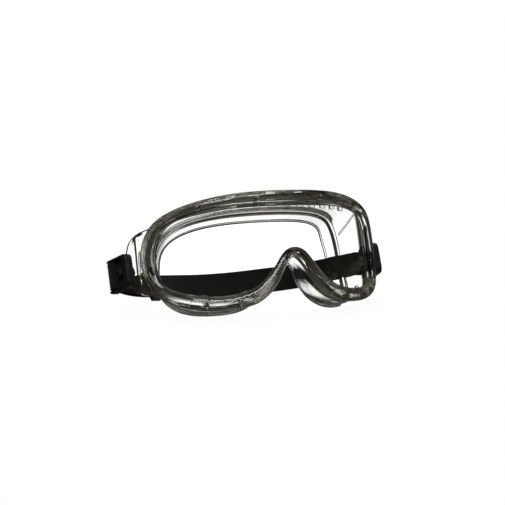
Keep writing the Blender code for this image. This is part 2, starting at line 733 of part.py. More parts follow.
def pivot_ring(side, x_in, x_out, radius, flare_in, flare_out):
    """Ring round the pivot axis; its ends can follow the ear's flare."""
    seg = 24
    rows = []
    for k in range(seg):
        turn = 2 * math.pi * k / seg
        cos, sin = math.cos(turn), math.sin(turn)
        corners = ((x_in, BORE_R, flare_in), (x_in, radius, flare_in),
                   (x_out, radius, flare_out), (x_out, BORE_R, flare_out))
        rows.append([(side * (x + share * FLARE * r * cos), PIVOT_Y + r * cos, PIVOT_Z + r * sin)
                     for x, r, share in corners])
    return loft(rows)


def build_pivot_rings(side, tag, mats, lean):
    for name, x_in, *shape in PIVOT_RINGS:
        new_object(name + tag, pivot_ring(side, x_in, *shape), mats["vent"], lean,
                   origin=(side * x_in, PIVOT_Y, PIVOT_Z))


# ----------------------------------------------------------------- headband
# Middle line of the main run from the right clip to the left clip:
# x, y, z from the lens apex along the world axes, lean of the webbing in degrees
STRAP_NODES = [
    (-94.6, 79.2, -19.6, 32), (-88.2, 82.3, -22.8, 46), (-81, 84.6, -25.0, 52),
    (-74.0, 86.25, -25.9, 50), (-65.5, 88.5, -26.6, 48), (-57.0, 90.75, -27.3, 47),
    (-44, 93.0, -28.6, 40), (-25, 94.4, -29.8, 33), (0, 94.2, -29.6, 27),
    (25, 92.4, -28.2, 15), (51, 88.4, -25.6, 4), (74, 82.6, -21.6, 0),
    (88, 78.4, -18.8, 6), (95.0, 76.2, -17.6, 14)]
# Webbing round the clip's bar: (back, out) from the pivot
BAR_INSIDE = [(5.95, 2.8), (6.0, 1.5), (6.9, 0.5), (8.1, 0.35), (10.2, 0.35), (12.0, 0.0)]
BAR_OUTSIDE = [(6.0, 4.15), (6.9, 5.1), (8.1, 5.25), (10.2, 5.25), (12.6, 4.2)]
BAR_LEAVE = 3 + 1              # tail rows before the webbing starts to twist
RUN_STEP, TAIL_STEP = 3.6, 3.4         # row spacing
CLIP_LEAN = -PITCH - CLIP_TILT
RIGHT_TAIL, LEFT_TAIL = 24, 13         # the tail follows the main run up to this row


def clip_world(side, back, out):
    return to_world(clip_point(side, back, out, 0.0))


def leaned(angle):
    """Width direction of webbing whose upper edge leans back by angle degrees."""
    return np.array([0.0, math.sin(math.radians(angle)), math.cos(math.radians(angle))])


def main_run():
    """Rows (point, width direction, thickness direction) from clip to clip."""
    right, left = ([(*clip_world(side, back, out), CLIP_LEAN) for back, out in BAR_INSIDE]
                   for side in (-1, 1))
    nodes = [(*(APEX + np.array(node[:3])), node[3]) for node in STRAP_NODES]
    path = open_spline(right + nodes + left[::-1], RUN_STEP)
    rows = []
    for k, row in enumerate(path):
        along = path_direction(path[:, :3], k)
        width = square_to(leaned(row[3]), along)
        rows.append((row[:3], width, np.cross(along, width)))
    return rows


def tail(rows, last, side):
    """(point, width direction) of the folded end: over the outside of the clip
    bar, then along the rear side of the main run up to row last."""
    over_bar = [clip_world(side, back, out) for back, out in BAR_OUTSIDE]
    run = rows if side < 0 else rows[::-1]
    bar = clip_world(side, *BAR_INSIDE[4])
    first = next(k for k, row in enumerate(run) if np.linalg.norm(row[0] - bar) > 6.0)
    beside = []
    for point, width, thick in run[first:last]:
        rearward = 1 if thick[1] > 0 else -1
        beside.append((point + thick * rearward * (STRAP_T + STRAP_GAP), width))
    path = open_spline(over_bar + [point for point, _ in beside], TAIL_STEP)
    out = []
    for k, point in enumerate(path):
        nearest = int(np.argmin([np.linalg.norm(point - q) for q, _ in beside]))
        twist = 0.0                # turns from the clip's lean to the main run's
        if k >= BAR_LEAVE:
            twist = min(1.0, max(0.0, np.linalg.norm(point - over_bar[3]) - 3.0) / 8.0)
        width = leaned(CLIP_LEAN) * (1 - twist) + beside[nearest][1] * twist
        out.append((point, square_to(width, path_direction(path, k))))
    return out


def build_headband(mats):
    """One continuous ribbon: right tail, main run, left tail."""
    run = main_run()
    rows = tail(run, RIGHT_TAIL, -1)[::-1] + [row[:2] for row in run] + tail(run, LEFT_TAIL, 1)
    points = [row[0] for row in rows]
    ribbon = []
    for k, (point, width) in enumerate(rows):
        along = path_direction(points, k)
        width = square_to(width, along)
        half_w = width * STRAP_W / 2
        half_t = np.cross(along, width) * STRAP_T / 2
        ribbon.append([point + half_w + half_t, point - half_w + half_t,
                       point - half_w - half_t, point + half_w - half_t])
    new_object("headband_strap", capped(ribbon), mats["webbing"],
               origin=to_world((0, PIVOT_Y, PIVOT_Z)), smooth=40)


# -------------------------------------------------------------- keeper loop
KEEPER_NODE = 4                # strap node it sits on
KEEPER_HALF_L = 4.0            # half length along the webbing
KEEPER_WALL = 1.1
KEEPER_CHAMFER = 0.4


def build_keeper(mats):
    """Moulded loop that holds the webbing's free end against the headband."""
    before, node, after = (np.array(STRAP_NODES[KEEPER_NODE + k]) for k in (-1, 0, 1))
    centre = APEX + node[:3]
    along = unit((after - before)[:3])
    width = square_to(leaned(node[3]), along)
    thick = np.cross(along, width)
    if thick[1] <= 0:
        thick = -thick
    half_w = STRAP_W / 2 + STRAP_GAP
    front = -STRAP_T / 2 - STRAP_GAP
    rear = STRAP_T * 1.5 + 2 * STRAP_GAP       # the second layer lies behind the first
    end, bevel = KEEPER_HALF_L, KEEPER_CHAMFER
    # place along the webbing, growth beyond the opening: outer face, then the opening
    sections = ((-end, KEEPER_WALL - bevel), (-end + bevel, KEEPER_WALL),
                (end - bevel, KEEPER_WALL), (end, KEEPER_WALL - bevel), (end, 0.0), (-end, 0.0))
    rows = []
    for place, grow in sections:
        w, r, f = half_w + grow, rear + grow, front - grow
        rows.append([centre + along * place + width * across + thick * through
                     for across, through in ((w, r), (-w, r), (-w, f), (w, f))])
    new_object("strap_keeper", loft(rows), mats["nylon"], origin=centre, smooth=30)


# ------------------------------------------------------------------- build
def make_lean():
    """Empty that carries everything drawn in the goggles' own frame."""
    lean = bpy.data.objects.new("lean", None)
    lean.rotation_euler = (math.radians(PITCH), 0, 0)
    lean.location = APEX * MM
    bpy.context.scene.collection.objects.link(lean)
    return lean


def main():
    clear_scene()
    mats = make_materials()
    lean = make_lean()
    studs = list_studs()
    build_frame(mats, lean, [stud_hole(place) for _, place, _ in studs])
    new_object("lens", lens_mesh(), mats["lens"], lean, smooth=30)
    build_baffles(mats, lean, studs)
    for name, place, _ in studs:
        new_object(name, stud(place), mats["vent"], lean)
    for side, tag in SIDES:
        build_clip(side, tag, mats, lean)
        build_rivet(side, tag, mats, lean)
        build_pivot_rings(side, tag, mats, lean)
    build_headband(mats)
    build_keeper(mats)


main()
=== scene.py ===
"""Looks of the splash goggles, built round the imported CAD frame.

Clear soft frame, curved lens, vent strips and pins are glass-like pieces at
their real thickness; clips, keeper and rivets are moulded nylon; the headband
is ribbed woven elastic.  Shapes follow the same rules as the CAD frame, at a
finer step.

The row frame has +Z up and the lens towards -Y; the wearer's left is +X.  The
goggles' own frame has its origin at the lens apex and leans back in the row
frame.  Lengths are in mm unless a comment says metres; meshes are in metres.
"""
import bpy
import bmesh
import math
import numpy as np
from mathutils import Vector, Matrix
from mathutils.geometry import delaunay_2d_cdt

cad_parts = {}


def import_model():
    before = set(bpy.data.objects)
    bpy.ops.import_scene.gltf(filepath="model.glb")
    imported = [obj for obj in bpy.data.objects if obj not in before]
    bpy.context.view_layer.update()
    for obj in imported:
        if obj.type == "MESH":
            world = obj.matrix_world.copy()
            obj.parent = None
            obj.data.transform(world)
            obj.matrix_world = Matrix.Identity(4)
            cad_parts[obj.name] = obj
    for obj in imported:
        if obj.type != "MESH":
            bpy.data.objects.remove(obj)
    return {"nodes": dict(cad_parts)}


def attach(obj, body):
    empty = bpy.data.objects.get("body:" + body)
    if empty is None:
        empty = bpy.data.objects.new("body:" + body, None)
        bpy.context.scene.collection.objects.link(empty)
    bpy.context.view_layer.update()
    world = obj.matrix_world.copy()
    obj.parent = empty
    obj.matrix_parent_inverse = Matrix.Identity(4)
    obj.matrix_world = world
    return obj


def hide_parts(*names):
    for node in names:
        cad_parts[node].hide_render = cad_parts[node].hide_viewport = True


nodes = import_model()["nodes"]
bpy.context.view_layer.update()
scene = bpy.context.scene

MM = 0.001                     # metres in a millimetre
GAP = 0.3                      # clearance between separate pieces
SIDES = ((1, "left"), (-1, "right"))

# ---------------------------------------------------------------- dimensions
PITCH = -13.7                  # degrees, frame leaning back on the table
APEX_Y = -48.0                 # lens apex in the row frame
APEX_Z = 42.0                  # the same, the height of the nose bridge
LENS_R = 104.5                 # radius of the cylinder the rim's face lies on
LENS_T = 2.0                   # lens thickness
LENS_SET = 2.0                 # lens front face behind the rim's face
GROOVE_D = 4.0                 # greatest depth of the lens groove
WALL_T = 1.6                   # side wall of the soft frame
WALL_INSET = 0.6               # wall's outside, in from the rim's outer edge
BEAD_D = 6.2                   # depth of the rim bead

# Outer and inner edge of the rim, X and Z: stations round the +X half, from the
# middle of the brow (0) round the temple and the cheek lobe to the nose bridge (16).
RIM_OUT = [(0, 43), (22, 43), (44, 42), (65.5, 38.5), (80, 32), (86.8, 22), (89.3, 9),
           (87.8, -6), (81.6, -20), (70.5, -27.6), (56, -31.2), (42, -31.7), (30, -30),
           (19.5, -23.8), (12, -15), (6.3, -5.8), (0, -0.8)]
RIM_IN = [(0, 32.4), (22, 32.5), (42, 32.3), (60.5, 30.6), (73.6, 27.2), (80.3, 18),
          (82.6, 6), (81.4, -6), (75.8, -14.8), (66, -19.5), (54, -22.5), (42, -22.5),
          (31, -19.8), (22, -13.8), (14.5, -5.8), (8, 2.2), (0, 5.2)]
# Rear edge of the wall, where the face seal starts: X, Z, depth behind the apex
SEAL = [(0, 32.8, 26.5), (20, 32.8, 29.5), (39, 32.6, 39.5), (55, 30, 53), (65, 23, 63.5),
        (69.7, 13.5, 68.5), (71.5, 2.5, 70), (71.4, -9, 68.5), (68.3, -21, 62), (60, -29, 53),
        (49.5, -32, 43), (37.5, -32.5, 35), (26.5, -30, 30.5), (17.5, -24.3, 28),
        (10.2, -16, 24.5), (5, -8.2, 20.5), (0, -4.2, 16.5)]
# How far the seal lip steps inwards and backwards from that edge
SEAL_IN = [5, 5, 5.2, 5.8, 6, 6, 6, 6, 6.5, 7, 7, 6.5, 5, 3.6, 2.8, 2.4, 2.4]
SEAL_BACK = [9, 9, 9.5, 10, 9.5, 8, 7, 7, 8.5, 9, 8.5, 7.5, 5.5, 3.6, 2.6, 2.4, 2.4]
FOLD_R, EDGE_R, LIP_T = 1.95, 1.1, 1.2   # bead radii at fold and lip edge, lip thickness

EAR_T = 2.4                    # ear (strap lug) thickness
EAR_X, EAR_Y, FLARE = 90.2, 52.0, 0.25   # outer face of the ear at EAR_Y, and its flare
COS_FLARE, SIN_FLARE = math.cos(math.atan(FLARE)), math.sin(math.atan(FLARE))
# Where the ear leaves the rim (X, Z) and its free edge (Y, Z), both from the top down
EAR_ROOT = [(82.2, 29.0), (84.8, 23.3), (86.6, 15), (87.0, 8), (86.6, 1), (85.6, -6),
            (83.5, -12.5), (79.5, -20)]
EAR_TIP = [(49.0, 25.2), (60.0, 20.4), (64.0, 14.8), (66.4, 8), (66.8, 1.5), (66.2, -5),
           (60, -11), (46, -17)]
PIVOT_Y, PIVOT_Z = 63.5, 1.2   # swivel axis of both clips (parallel to X)
PIVOT_HOLE_R = 2.3             # hole in ear, washer and cap
WASHER_T = 1.6                 # space between lug and clip, partly filled by the washer
CLIP_TILT = -6.0               # degrees, the clips rest with their front end up

STRAP_W, STRAP_T = 18.0, 1.5

STUD_R, STUD_HEAD_R = 0.85, 1.7
STUD_U = 5.25                  # stud axis, out from the rim's inner edge
STUD_AHEAD = 4.0               # where the stud's axis starts, ahead of the rim's face
TOP_STUDS = (12.8, 35.0)       # degrees either side of the middle
BOTTOM_STUDS = (11.25, 9.75)   # stations
BAFFLE_REAR = BEAD_D + 1.65    # rear face of the vent baffles, behind the rim's face

SUB = 12       # fine stations to each station of the tables
RATIO = SUB / 3.0              # fine stations to each CAD station (3 to a table station)

WHITE = 1.0                    # level of the background and the open floor


# ------------------------------------------------------------ vectors, curves
def unit(v):
    return v / np.linalg.norm(v)


def square_to(v, axis):
    """Unit vector of the part of v that is square to a unit axis."""
    return unit(v - axis * np.dot(v, axis))


def tangent(points, k):
    return unit(points[min(k + 1, len(points) - 1)] - points[max(k - 1, 0)])


def periodic_spline(points, sub):
    """Smooth closed curve through the points, sub steps for each span."""
    p = np.array(points, float)
    n = len(p)
    system = np.zeros((n, n))
    for i in range(n):
        system[i, i] = 4.0
        system[i, (i + 1) % n] = system[i, (i - 1) % n] = 1.0
    slope = np.linalg.solve(system, 3.0 * (np.roll(p, -1, 0) - np.roll(p, 1, 0)))
    out = []
    for i in range(n):
        j = (i + 1) % n
        for k in range(sub):
            t = k / sub
            h0 = 2 * t**3 - 3 * t**2 + 1
            h1 = t**3 - 2 * t**2 + t
            h2 = -2 * t**3 + 3 * t**2
            h3 = t**3 - t**2
            out.append(h0 * p[i] + h1 * slope[i] + h2 * p[j] + h3 * slope[j])
    return np.array(out)


def open_spline(points, step):
    """Centripetal Catmull-Rom curve through the points, about step apart.
    Columns after the third ride along and don't count as distance."""
    p = [np.array(q, float) for q in points]
    p = [2 * p[0] - p[1]] + p + [2 * p[-1] - p[-2]]
    out = []
    for i in range(1, len(p) - 2):
        p0, p1, p2, p3 = p[i - 1:i + 3]
        t0 = 0.0
        t1 = t0 + max(np.linalg.norm((p1 - p0)[:3]), 1e-6) ** 0.5
        t2 = t1 + max(np.linalg.norm((p2 - p1)[:3]), 1e-6) ** 0.5
        t3 = t2 + max(np.linalg.norm((p3 - p2)[:3]), 1e-6) ** 0.5
        n = max(1, int(round(np.linalg.norm((p2 - p1)[:3]) / step)))
        for k in range(n):
            t = t1 + (t2 - t1) * k / n
            a1 = (t1 - t) / (t1 - t0) * p0 + (t - t0) / (t1 - t0) * p1
            a2 = (t2 - t) / (t2 - t1) * p1 + (t - t1) / (t2 - t1) * p2
            a3 = (t3 - t) / (t3 - t2) * p2 + (t - t2) / (t3 - t2) * p3
            b1 = (t2 - t) / (t2 - t0) * a1 + (t - t0) / (t2 - t0) * a2
            b2 = (t3 - t) / (t3 - t1) * a2 + (t - t1) / (t3 - t1) * a3
            out.append((t2 - t) / (t2 - t1) * b1 + (t - t1) / (t2 - t1) * b2)
    out.append(p[-2])
    return np.array(out)


def frame_loop(half):
    """Fine closed loop from a half outline and its mirror image."""
    mirror = [(-q[0],) + tuple(q[1:]) for q in half[-2:0:-1]]
    return periodic_spline(list(half) + mirror, SUB)


# ------------------------------------------------------- meshes as (verts, faces)
def loft(rows, closed_loop=True):
    """Quads between successive closed rows of points."""
    n, m = len(rows), len(rows[0])
    verts = [tuple(v) for row in rows for v in row]
    faces = []
    for i in range(n if closed_loop else n - 1):
        a, b = i, (i + 1) % n
        for j in range(m):
            k = (j + 1) % m
            faces.append((a * m + j, b * m + j, b * m + k, a * m + k))
    return verts, faces


def capped(rows):
    verts, faces = loft(rows, closed_loop=False)
    m, n = len(rows[0]), len(rows)
    faces.append(tuple(range(m - 1, -1, -1)))
    faces.append(tuple((n - 1) * m + j for j in range(m)))
    return verts, faces


def circle(centre, radius, u, v, seg):
    angles = [2 * math.pi * k / seg for k in range(seg)]
    return [centre + radius * (u * math.cos(a) + v * math.sin(a)) for a in angles]


def rod(start, end, radii, seg, ref=(0, 0, 1)):
    """Turned piece along start-end; radii = [(distance, radius), ...]."""
    start = np.array(start, float)
    axis = unit(np.array(end, float) - start)
    u = unit(np.cross(axis, ref))
    v = np.cross(axis, u)
    return capped([circle(start + axis * d, r, u, v, seg) for d, r in radii])


def rib(points, radius, seg=10):
    """Round rib following the points, thinner at both ends."""
    line = open_spline(points, 1.5)
    rows = []
    for k in range(len(line)):
        along = tangent(line, k)
        u = unit(np.cross(along, (0.2, 0.1, 1.0)))
        v = np.cross(along, u)
        swell = min(1.0, 0.35 + 0.65 * min(k, len(line) - 1 - k) / 2.0)
        rows.append(circle(line[k], radius * swell, u, v, seg))
    return capped(rows)


def merged(bodies):
    verts, faces = [], []
    for v, f in bodies:
        m = len(verts)
        verts += [tuple(p) for p in v]
        faces += [tuple(k + m for k in q) for q in f]
    return verts, faces


# ------------------------------------------------------------------ objects
# The goggles' own frame (mm) to the row frame (metres)
LEAN = (Matrix.Translation((0, APEX_Y * MM, APEX_Z * MM))
        @ Matrix.Rotation(math.radians(PITCH), 4, 'X') @ Matrix.Scale(MM, 4))
COS_PITCH, SIN_PITCH = math.cos(math.radians(PITCH)), math.sin(math.radians(PITCH))


def to_row_frame(p):
    """The goggles' own frame to the row frame, both in mm."""
    return np.array([p[0], APEX_Y + p[1] * COS_PITCH - p[2] * SIN_PITCH,
                     APEX_Z + p[1] * SIN_PITCH + p[2] * COS_PITCH])


def shade_smooth(me, smooth):
    me.shade_smooth()
    me.set_sharp_from_angle(angle=math.radians(smooth))


def piece(name, verts, faces, mat=None, own_frame=True, smooth=32.0, uv=None):
    """Mesh piece from mm points, in the goggles' own frame or in the row frame."""
    v = np.array([tuple(q) for q in verts], float)
    if own_frame:
        m = np.array(LEAN)
        v = v @ m[:3, :3].T + m[:3, 3]
    else:
        v = v * MM
    me = bpy.data.meshes.new(name)
    me.from_pydata([tuple(q) for q in v], [], [tuple(f) for f in faces])
    if uv is not None:
        layer = me.uv_layers.new(name="run")
        idx = np.zeros(len(me.loops), np.int32)
        me.loops.foreach_get("vertex_index", idx)
        layer.data.foreach_set("uv", np.array(uv, np.float32)[idx].ravel())
    bm = bmesh.new()
    bm.from_mesh(me)
    bmesh.ops.recalc_face_normals(bm, faces=bm.faces)
    bm.to_mesh(me)
    bm.free()
    shade_smooth(me, smooth)
    ob = bpy.data.objects.new(name, me)
    scene.collection.objects.link(ob)
    if mat:
        me.materials.append(mat)
    return ob


def bake(ob):
    """Applies the modifiers, so that what rides is the final mesh."""
    dg = bpy.context.evaluated_depsgraph_get()
    me = bpy.data.meshes.new_from_object(ob.evaluated_get(dg))
    ob.modifiers.clear()
    ob.data = me
    bm = bmesh.new()
    bm.from_mesh(me)
    bmesh.ops.remove_doubles(bm, verts=bm.verts, dist=2e-7)
    bmesh.ops.dissolve_degenerate(bm, edges=bm.edges, dist=1e-7)
    bm.to_mesh(me)
    bm.free()
    shade_smooth(me, 32.0)


def boolean(ob, other, op):
    m = ob.modifiers.new(other.name, 'BOOLEAN')
    m.operation = op
    m.solver = 'EXACT'
    m.object = other


def bevel(ob, width, segments, angle):
    m = ob.modifiers.new("edge", 'BEVEL')
    m.width = width * MM
    m.segments = segments
    m.limit_method = 'ANGLE'
    m.angle_limit = math.radians(angle)
    m.harden_normals = False


def register(ob, replaced, carrier="goggle_frame"):
    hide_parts(replaced)
    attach(ob, carrier)


# ---------------------------------------------------------------- shader nodes
def set_input(nt, socket, value):
    """Links the input when the value is another node's output, else sets it."""
    if isinstance(value, bpy.types.NodeSocket):
        nt.links.new(value, socket)
    else:
        socket.default_value = value


def fill(nt, n, **values):
    """Capitalised names are inputs (_ for a space), the others node settings."""
    for key, value in values.items():
        if key[0].isupper():
            set_input(nt, n.inputs[key.replace("_", " ")], value)
        else:
            setattr(n, key, value)


def node(nt, kind, *ordered, **values):
    """New shader node; ordered values go to its inputs from the first on."""
    n = nt.nodes.new("ShaderNode" + kind)
    fill(nt, n, **values)
    for socket, value in zip(n.inputs, ordered):
        set_input(nt, socket, value)
    return n


def maths(nt, operation, *values):
    return node(nt, "Math", *values, operation=operation).outputs[0]


def noise(nt, coords, scale, detail, rough):
    n = node(nt, "TexNoise", Vector=coords, Scale=scale, Detail=detail, Roughness=rough)
    return n.outputs["Fac"]


def remap(nt, source, given, to, **settings):
    """Maps the range given = (low, high) of the source to the range to."""
    n = node(nt, "MapRange", Value=source, From_Min=given[0], From_Max=given[1],
             To_Min=to[0], To_Max=to[1], **settings)
    return n.outputs["Result"]


def bump(nt, height, strength, distance):
    """Bumped normal; distance in metres."""
    n = node(nt, "Bump", Height=height, Strength=strength, Distance=distance)
    return n.outputs["Normal"]


def mix_colour(nt, factor, first=None, second=None):
    n = node(nt, "Mix", factor, data_type='RGBA')
    set_input(nt, n.inputs[6], first)
    set_input(nt, n.inputs[7], second)
    return n.outputs[2]


def mix_shader(nt, factor, first, second):
    return node(nt, "MixShader", factor, first, second).outputs[0]


def pass_shadow_rays(nt, out, surface, tint):
    """Light passes on to what is behind or below without a black shadow."""
    path = node(nt, "LightPath")
    through = node(nt, "BsdfTransparent", Color=(*tint, 1))
    mixed = mix_shader(nt, path.outputs["Is Shadow Ray"], surface, through.outputs[0])
    nt.links.new(mixed, out.inputs["Surface"])


def shade(colour, factor, lift=0.0):
    return (*[c * factor + lift for c in colour], 1)


# ---------------------------------------------------------------- materials
def new_material(name):
    """Material with its node tree, principled node and output node."""
    m = bpy.data.materials.new(name)
    m.use_nodes = True
    nt = m.node_tree
    return m, nt, nt.nodes["Principled BSDF"], nt.nodes["Material Output"]


def add_flow_lines(nt, tc, height, streak):
    """Adds to the height streaks that run along the frame's bead."""
    stretched = node(nt, "Mapping", Vector=tc.outputs["UV"], Scale=(5.0, 13.0, 1.0))
    lines = noise(nt, stretched.outputs["Vector"], scale=1.0, detail=2.0, rough=0.55)
    # the streaks belong to the bead: they fade where the thin wall begins
    uv_part = node(nt, "SeparateXYZ", tc.outputs["UV"])
    on_bead = remap(nt, uv_part.outputs["Y"], given=(1.5, 2.0), to=(streak, 0.05 * streak))
    # the walls beside the nose show the same flow lines (places in metres)
    place = node(nt, "SeparateXYZ", tc.outputs["Object"])
    sideways = maths(nt, 'ABSOLUTE', place.outputs["X"])
    by_nose = remap(nt, sideways, given=(0.016, 0.034), to=(0.8 * streak, 0.0))
    low = maths(nt, 'LESS_THAN', place.outputs["Z"], 0.052)
    strength = maths(nt, 'MAXIMUM', on_bead, maths(nt, 'MULTIPLY', by_nose, low))
    return maths(nt, 'MULTIPLY_ADD', lines, strength, height)


def clear_material(name, tint, rough, wave, absorb, density, ior, streak=0.0):
    """Clear moulded plastic: real refraction, faint flow lines, a tint that grows
    with thickness."""
    m, nt, surface, out = new_material(name)
    tc = node(nt, "TexCoord")
    coords = tc.outputs["Object"]
    # haze: smudges and handling marks change the roughness a little
    haze = noise(nt, coords, scale=55.0, detail=3.0, rough=0.6)
    roughness = remap(nt, haze, given=(0.35, 0.75), to=(rough * 0.6, rough * 1.8))
    # ripples of the moulding
    height = noise(nt, coords, scale=70.0, detail=2.0, rough=0.5)
    if streak:
        height = add_flow_lines(nt, tc, height, streak)
    fill(nt, surface, Base_Color=(*tint, 1), Transmission_Weight=1.0, IOR=ior,
         Specular_IOR_Level=0.5, Roughness=roughness,
         Normal=bump(nt, height, strength=wave, distance=0.0003))
    pass_shadow_rays(nt, out, surface.outputs[0], tint=(0.86, 0.87, 0.85))
    inside = node(nt, "VolumeAbsorption", Color=(*absorb, 1), Density=density)
    nt.links.new(inside.outputs[0], out.inputs["Volume"])
    return m


def nylon_material(name, colour, rough, grain):
    """Moulded black nylon: fine spark-eroded grain, slight mottling, and a painted highlight
    that lightens the sharp edges.
    """
    m, nt, surface, _ = new_material(name)
    coords = node(nt, "TexCoord").outputs["Object"]
    mottle = noise(nt, coords, scale=320.0, detail=4.0, rough=0.6)
    body = mix_colour(nt, mottle, shade(colour, 0.75), shade(colour, 1.35))
    pointed = node(nt, "NewGeometry").outputs["Pointiness"]
    # painted highlight: the colour turns lighter on sharp convex edges, where light would
    # catch them
    edge = remap(nt, pointed, given=(0.52, 0.62), to=(0.0, 1.0))
    fine = noise(nt, coords, scale=2600.0, detail=2.0, rough=0.6)
    fill(nt, surface,
         Base_Color=mix_colour(nt, edge, body, shade(colour, 2.4, lift=0.006)),
         Normal=bump(nt, fine, strength=grain, distance=0.00005),
         Roughness=remap(nt, mottle, given=(0.0, 1.0), to=(rough * 0.85, rough * 1.2)))
    return m


def web_material(name, colour):
    """Black knitted elastic: picks across, cords along, with a painted highlight on the raised
    stitches.
    """
    m, nt, surface, _ = new_material(name)
    tc = node(nt, "TexCoord")
    coords = tc.outputs["Object"]
    run = node(nt, "SeparateXYZ", tc.outputs["UV"])    # X = mm along, Y = mm across

    def wave(source, per_mm):
        """Sine wave between 0 and 1."""
        swing = maths(nt, 'SINE', maths(nt, 'MULTIPLY', source, 2 * math.pi * per_mm))
        return maths(nt, 'MULTIPLY_ADD', swing, 0.5, 0.5)

    picks = wave(run.outputs["X"], per_mm=1.35)
    cords = wave(run.outputs["Y"], per_mm=1.0)
    knit = maths(nt, 'MULTIPLY', picks, cords)
    fuzz = noise(nt, coords, scale=1500.0, detail=4.0, rough=0.7)
    height = maths(nt, 'MULTIPLY_ADD', fuzz, 0.5, knit)
    mottle = noise(nt, coords, scale=90.0, detail=5.0, rough=0.65)
    body = mix_colour(nt, mottle, shade(colour, 0.7), shade(colour, 1.35))
    fill(nt, surface,
         # painted highlight: the raised crossings of picks and cords are coloured lighter, as
         # if lit
         Base_Color=mix_colour(nt, knit, body, shade(colour, 2.0)),
         Normal=bump(nt, height, strength=0.7, distance=0.00018),
         Roughness=0.82, Sheen_Weight=0.15, Sheen_Roughness=0.5, Specular_IOR_Level=0.25)
    return m


def lens_material(name):
    """Hard coated lens: clear, with only a trace of surface reflection and handling haze."""
    m, nt, surface, out = new_material(name)
    nt.nodes.remove(surface)
    coords = node(nt, "TexCoord").outputs["Object"]
    haze = noise(nt, coords, scale=30.0, detail=4.0, rough=0.6)
    clear = node(nt, "BsdfRefraction", IOR=1.5, Color=(0.995, 1.0, 0.998, 1),
                 Roughness=remap(nt, haze, given=(0.0, 1.0), to=(0.0, 0.012)))
    gloss = node(nt, "BsdfAnisotropic", Roughness=0.02)
    fresnel = node(nt, "Fresnel", IOR=1.35)
    trace = maths(nt, 'MULTIPLY', fresnel.outputs[0], 0.12)
    coated = mix_shader(nt, trace, clear.outputs[0], gloss.outputs[0])
    pass_shadow_rays(nt, out, coated, tint=(0.95, 0.96, 0.96))
    return m


PVC = clear_material("clear_soft_pvc", tint=(0.985, 0.985, 0.975), rough=0.012, wave=0.16,
                     absorb=(0.60, 0.58, 0.36), density=18.0, ior=1.53, streak=2.0)
LENS = lens_material("clear_hard_lens")
VENT = clear_material("clear_vent_moulding", tint=(0.97, 0.975, 0.97), rough=0.06, wave=0.4,
                      absorb=(0.6, 0.62, 0.55), density=30.0, ior=1.5)
NYLON = nylon_material("black_moulded_nylon", colour=(0.0085, 0.0085, 0.0082), rough=0.36,
                       grain=0.25)
# rivet nylon: black, a touch darker than the clips' nylon as painted shade for the recess it
# sits in
PIN = nylon_material("rivet_nylon_with_painted_shade", colour=(0.0075, 0.0075, 0.0075), rough=0.5, grain=0.2)
WEB = web_material("black_knitted_elastic", colour=(0.0052, 0.0047, 0.0034))


# --------------------------------------------------------- stations of the frame
rim_out = frame_loop(RIM_OUT)
rim_in = frame_loop(RIM_IN)
seal_edge = frame_loop(SEAL)
lip_step = frame_loop([(0.0, a, b) for a, b in zip(SEAL_IN, SEAL_BACK)])[:, 1:]
N = len(rim_out)


def on_lens(s, z, ahead):
    """Point at arc length s and height z, so far ahead of the rim's face."""
    a = s / LENS_R
    r = LENS_R + ahead
    return np.array([r * math.sin(a), LENS_R - r * math.cos(a), z])


def arc(x):
    return LENS_R * math.asin(x / LENS_R)


def station(i):
    """Inner edge of the rim (arc length, Z), direction to its outer edge, and width."""
    s_out, z_out = arc(rim_out[i][0]), rim_out[i][1]
    s_in, z_in = arc(rim_in[i][0]), rim_in[i][1]
    width = math.hypot(s_out - s_in, z_out - z_in)
    return (s_in, z_in), ((s_out - s_in) / width, (z_out - z_in) / width), width


def rim_point(i, across, ahead):
    """Point across from the rim's inner edge and ahead of its face."""
    (s, z), (ds, dz), _ = station(i)
    return on_lens(s + across * ds, z + across * dz, ahead)


def wall_top(i):
    """Where the outside of the wall leaves the bead."""
    return rim_point(i, station(i)[2] - WALL_INSET, -BEAD_D)


def groove(i):
    """Depth of the lens groove."""
    return max(0.9, min(GROOVE_D, station(i)[2] - 2.2))


def seal_point(i):
    x, z, depth = seal_edge[i]
    return np.array([x, depth, z])


def seal_inner(i):
    """Free edge of the seal lip."""
    p = seal_edge[i]
    along = unit(seal_edge[(i + 1) % N] - seal_edge[(i - 1) % N])
    q = p[:2] + unit(np.array([along[1], -along[0]])) * lip_step[i][0]
    return np.array([q[0], p[2] + lip_step[i][1], q[1]])


def between(k, fn):
    """fn at a fractional station k, from the stations on either side."""
    i = int(math.floor(k))
    f = k - i
    return fn(i % N) * (1 - f) + fn((i + 1) % N) * f


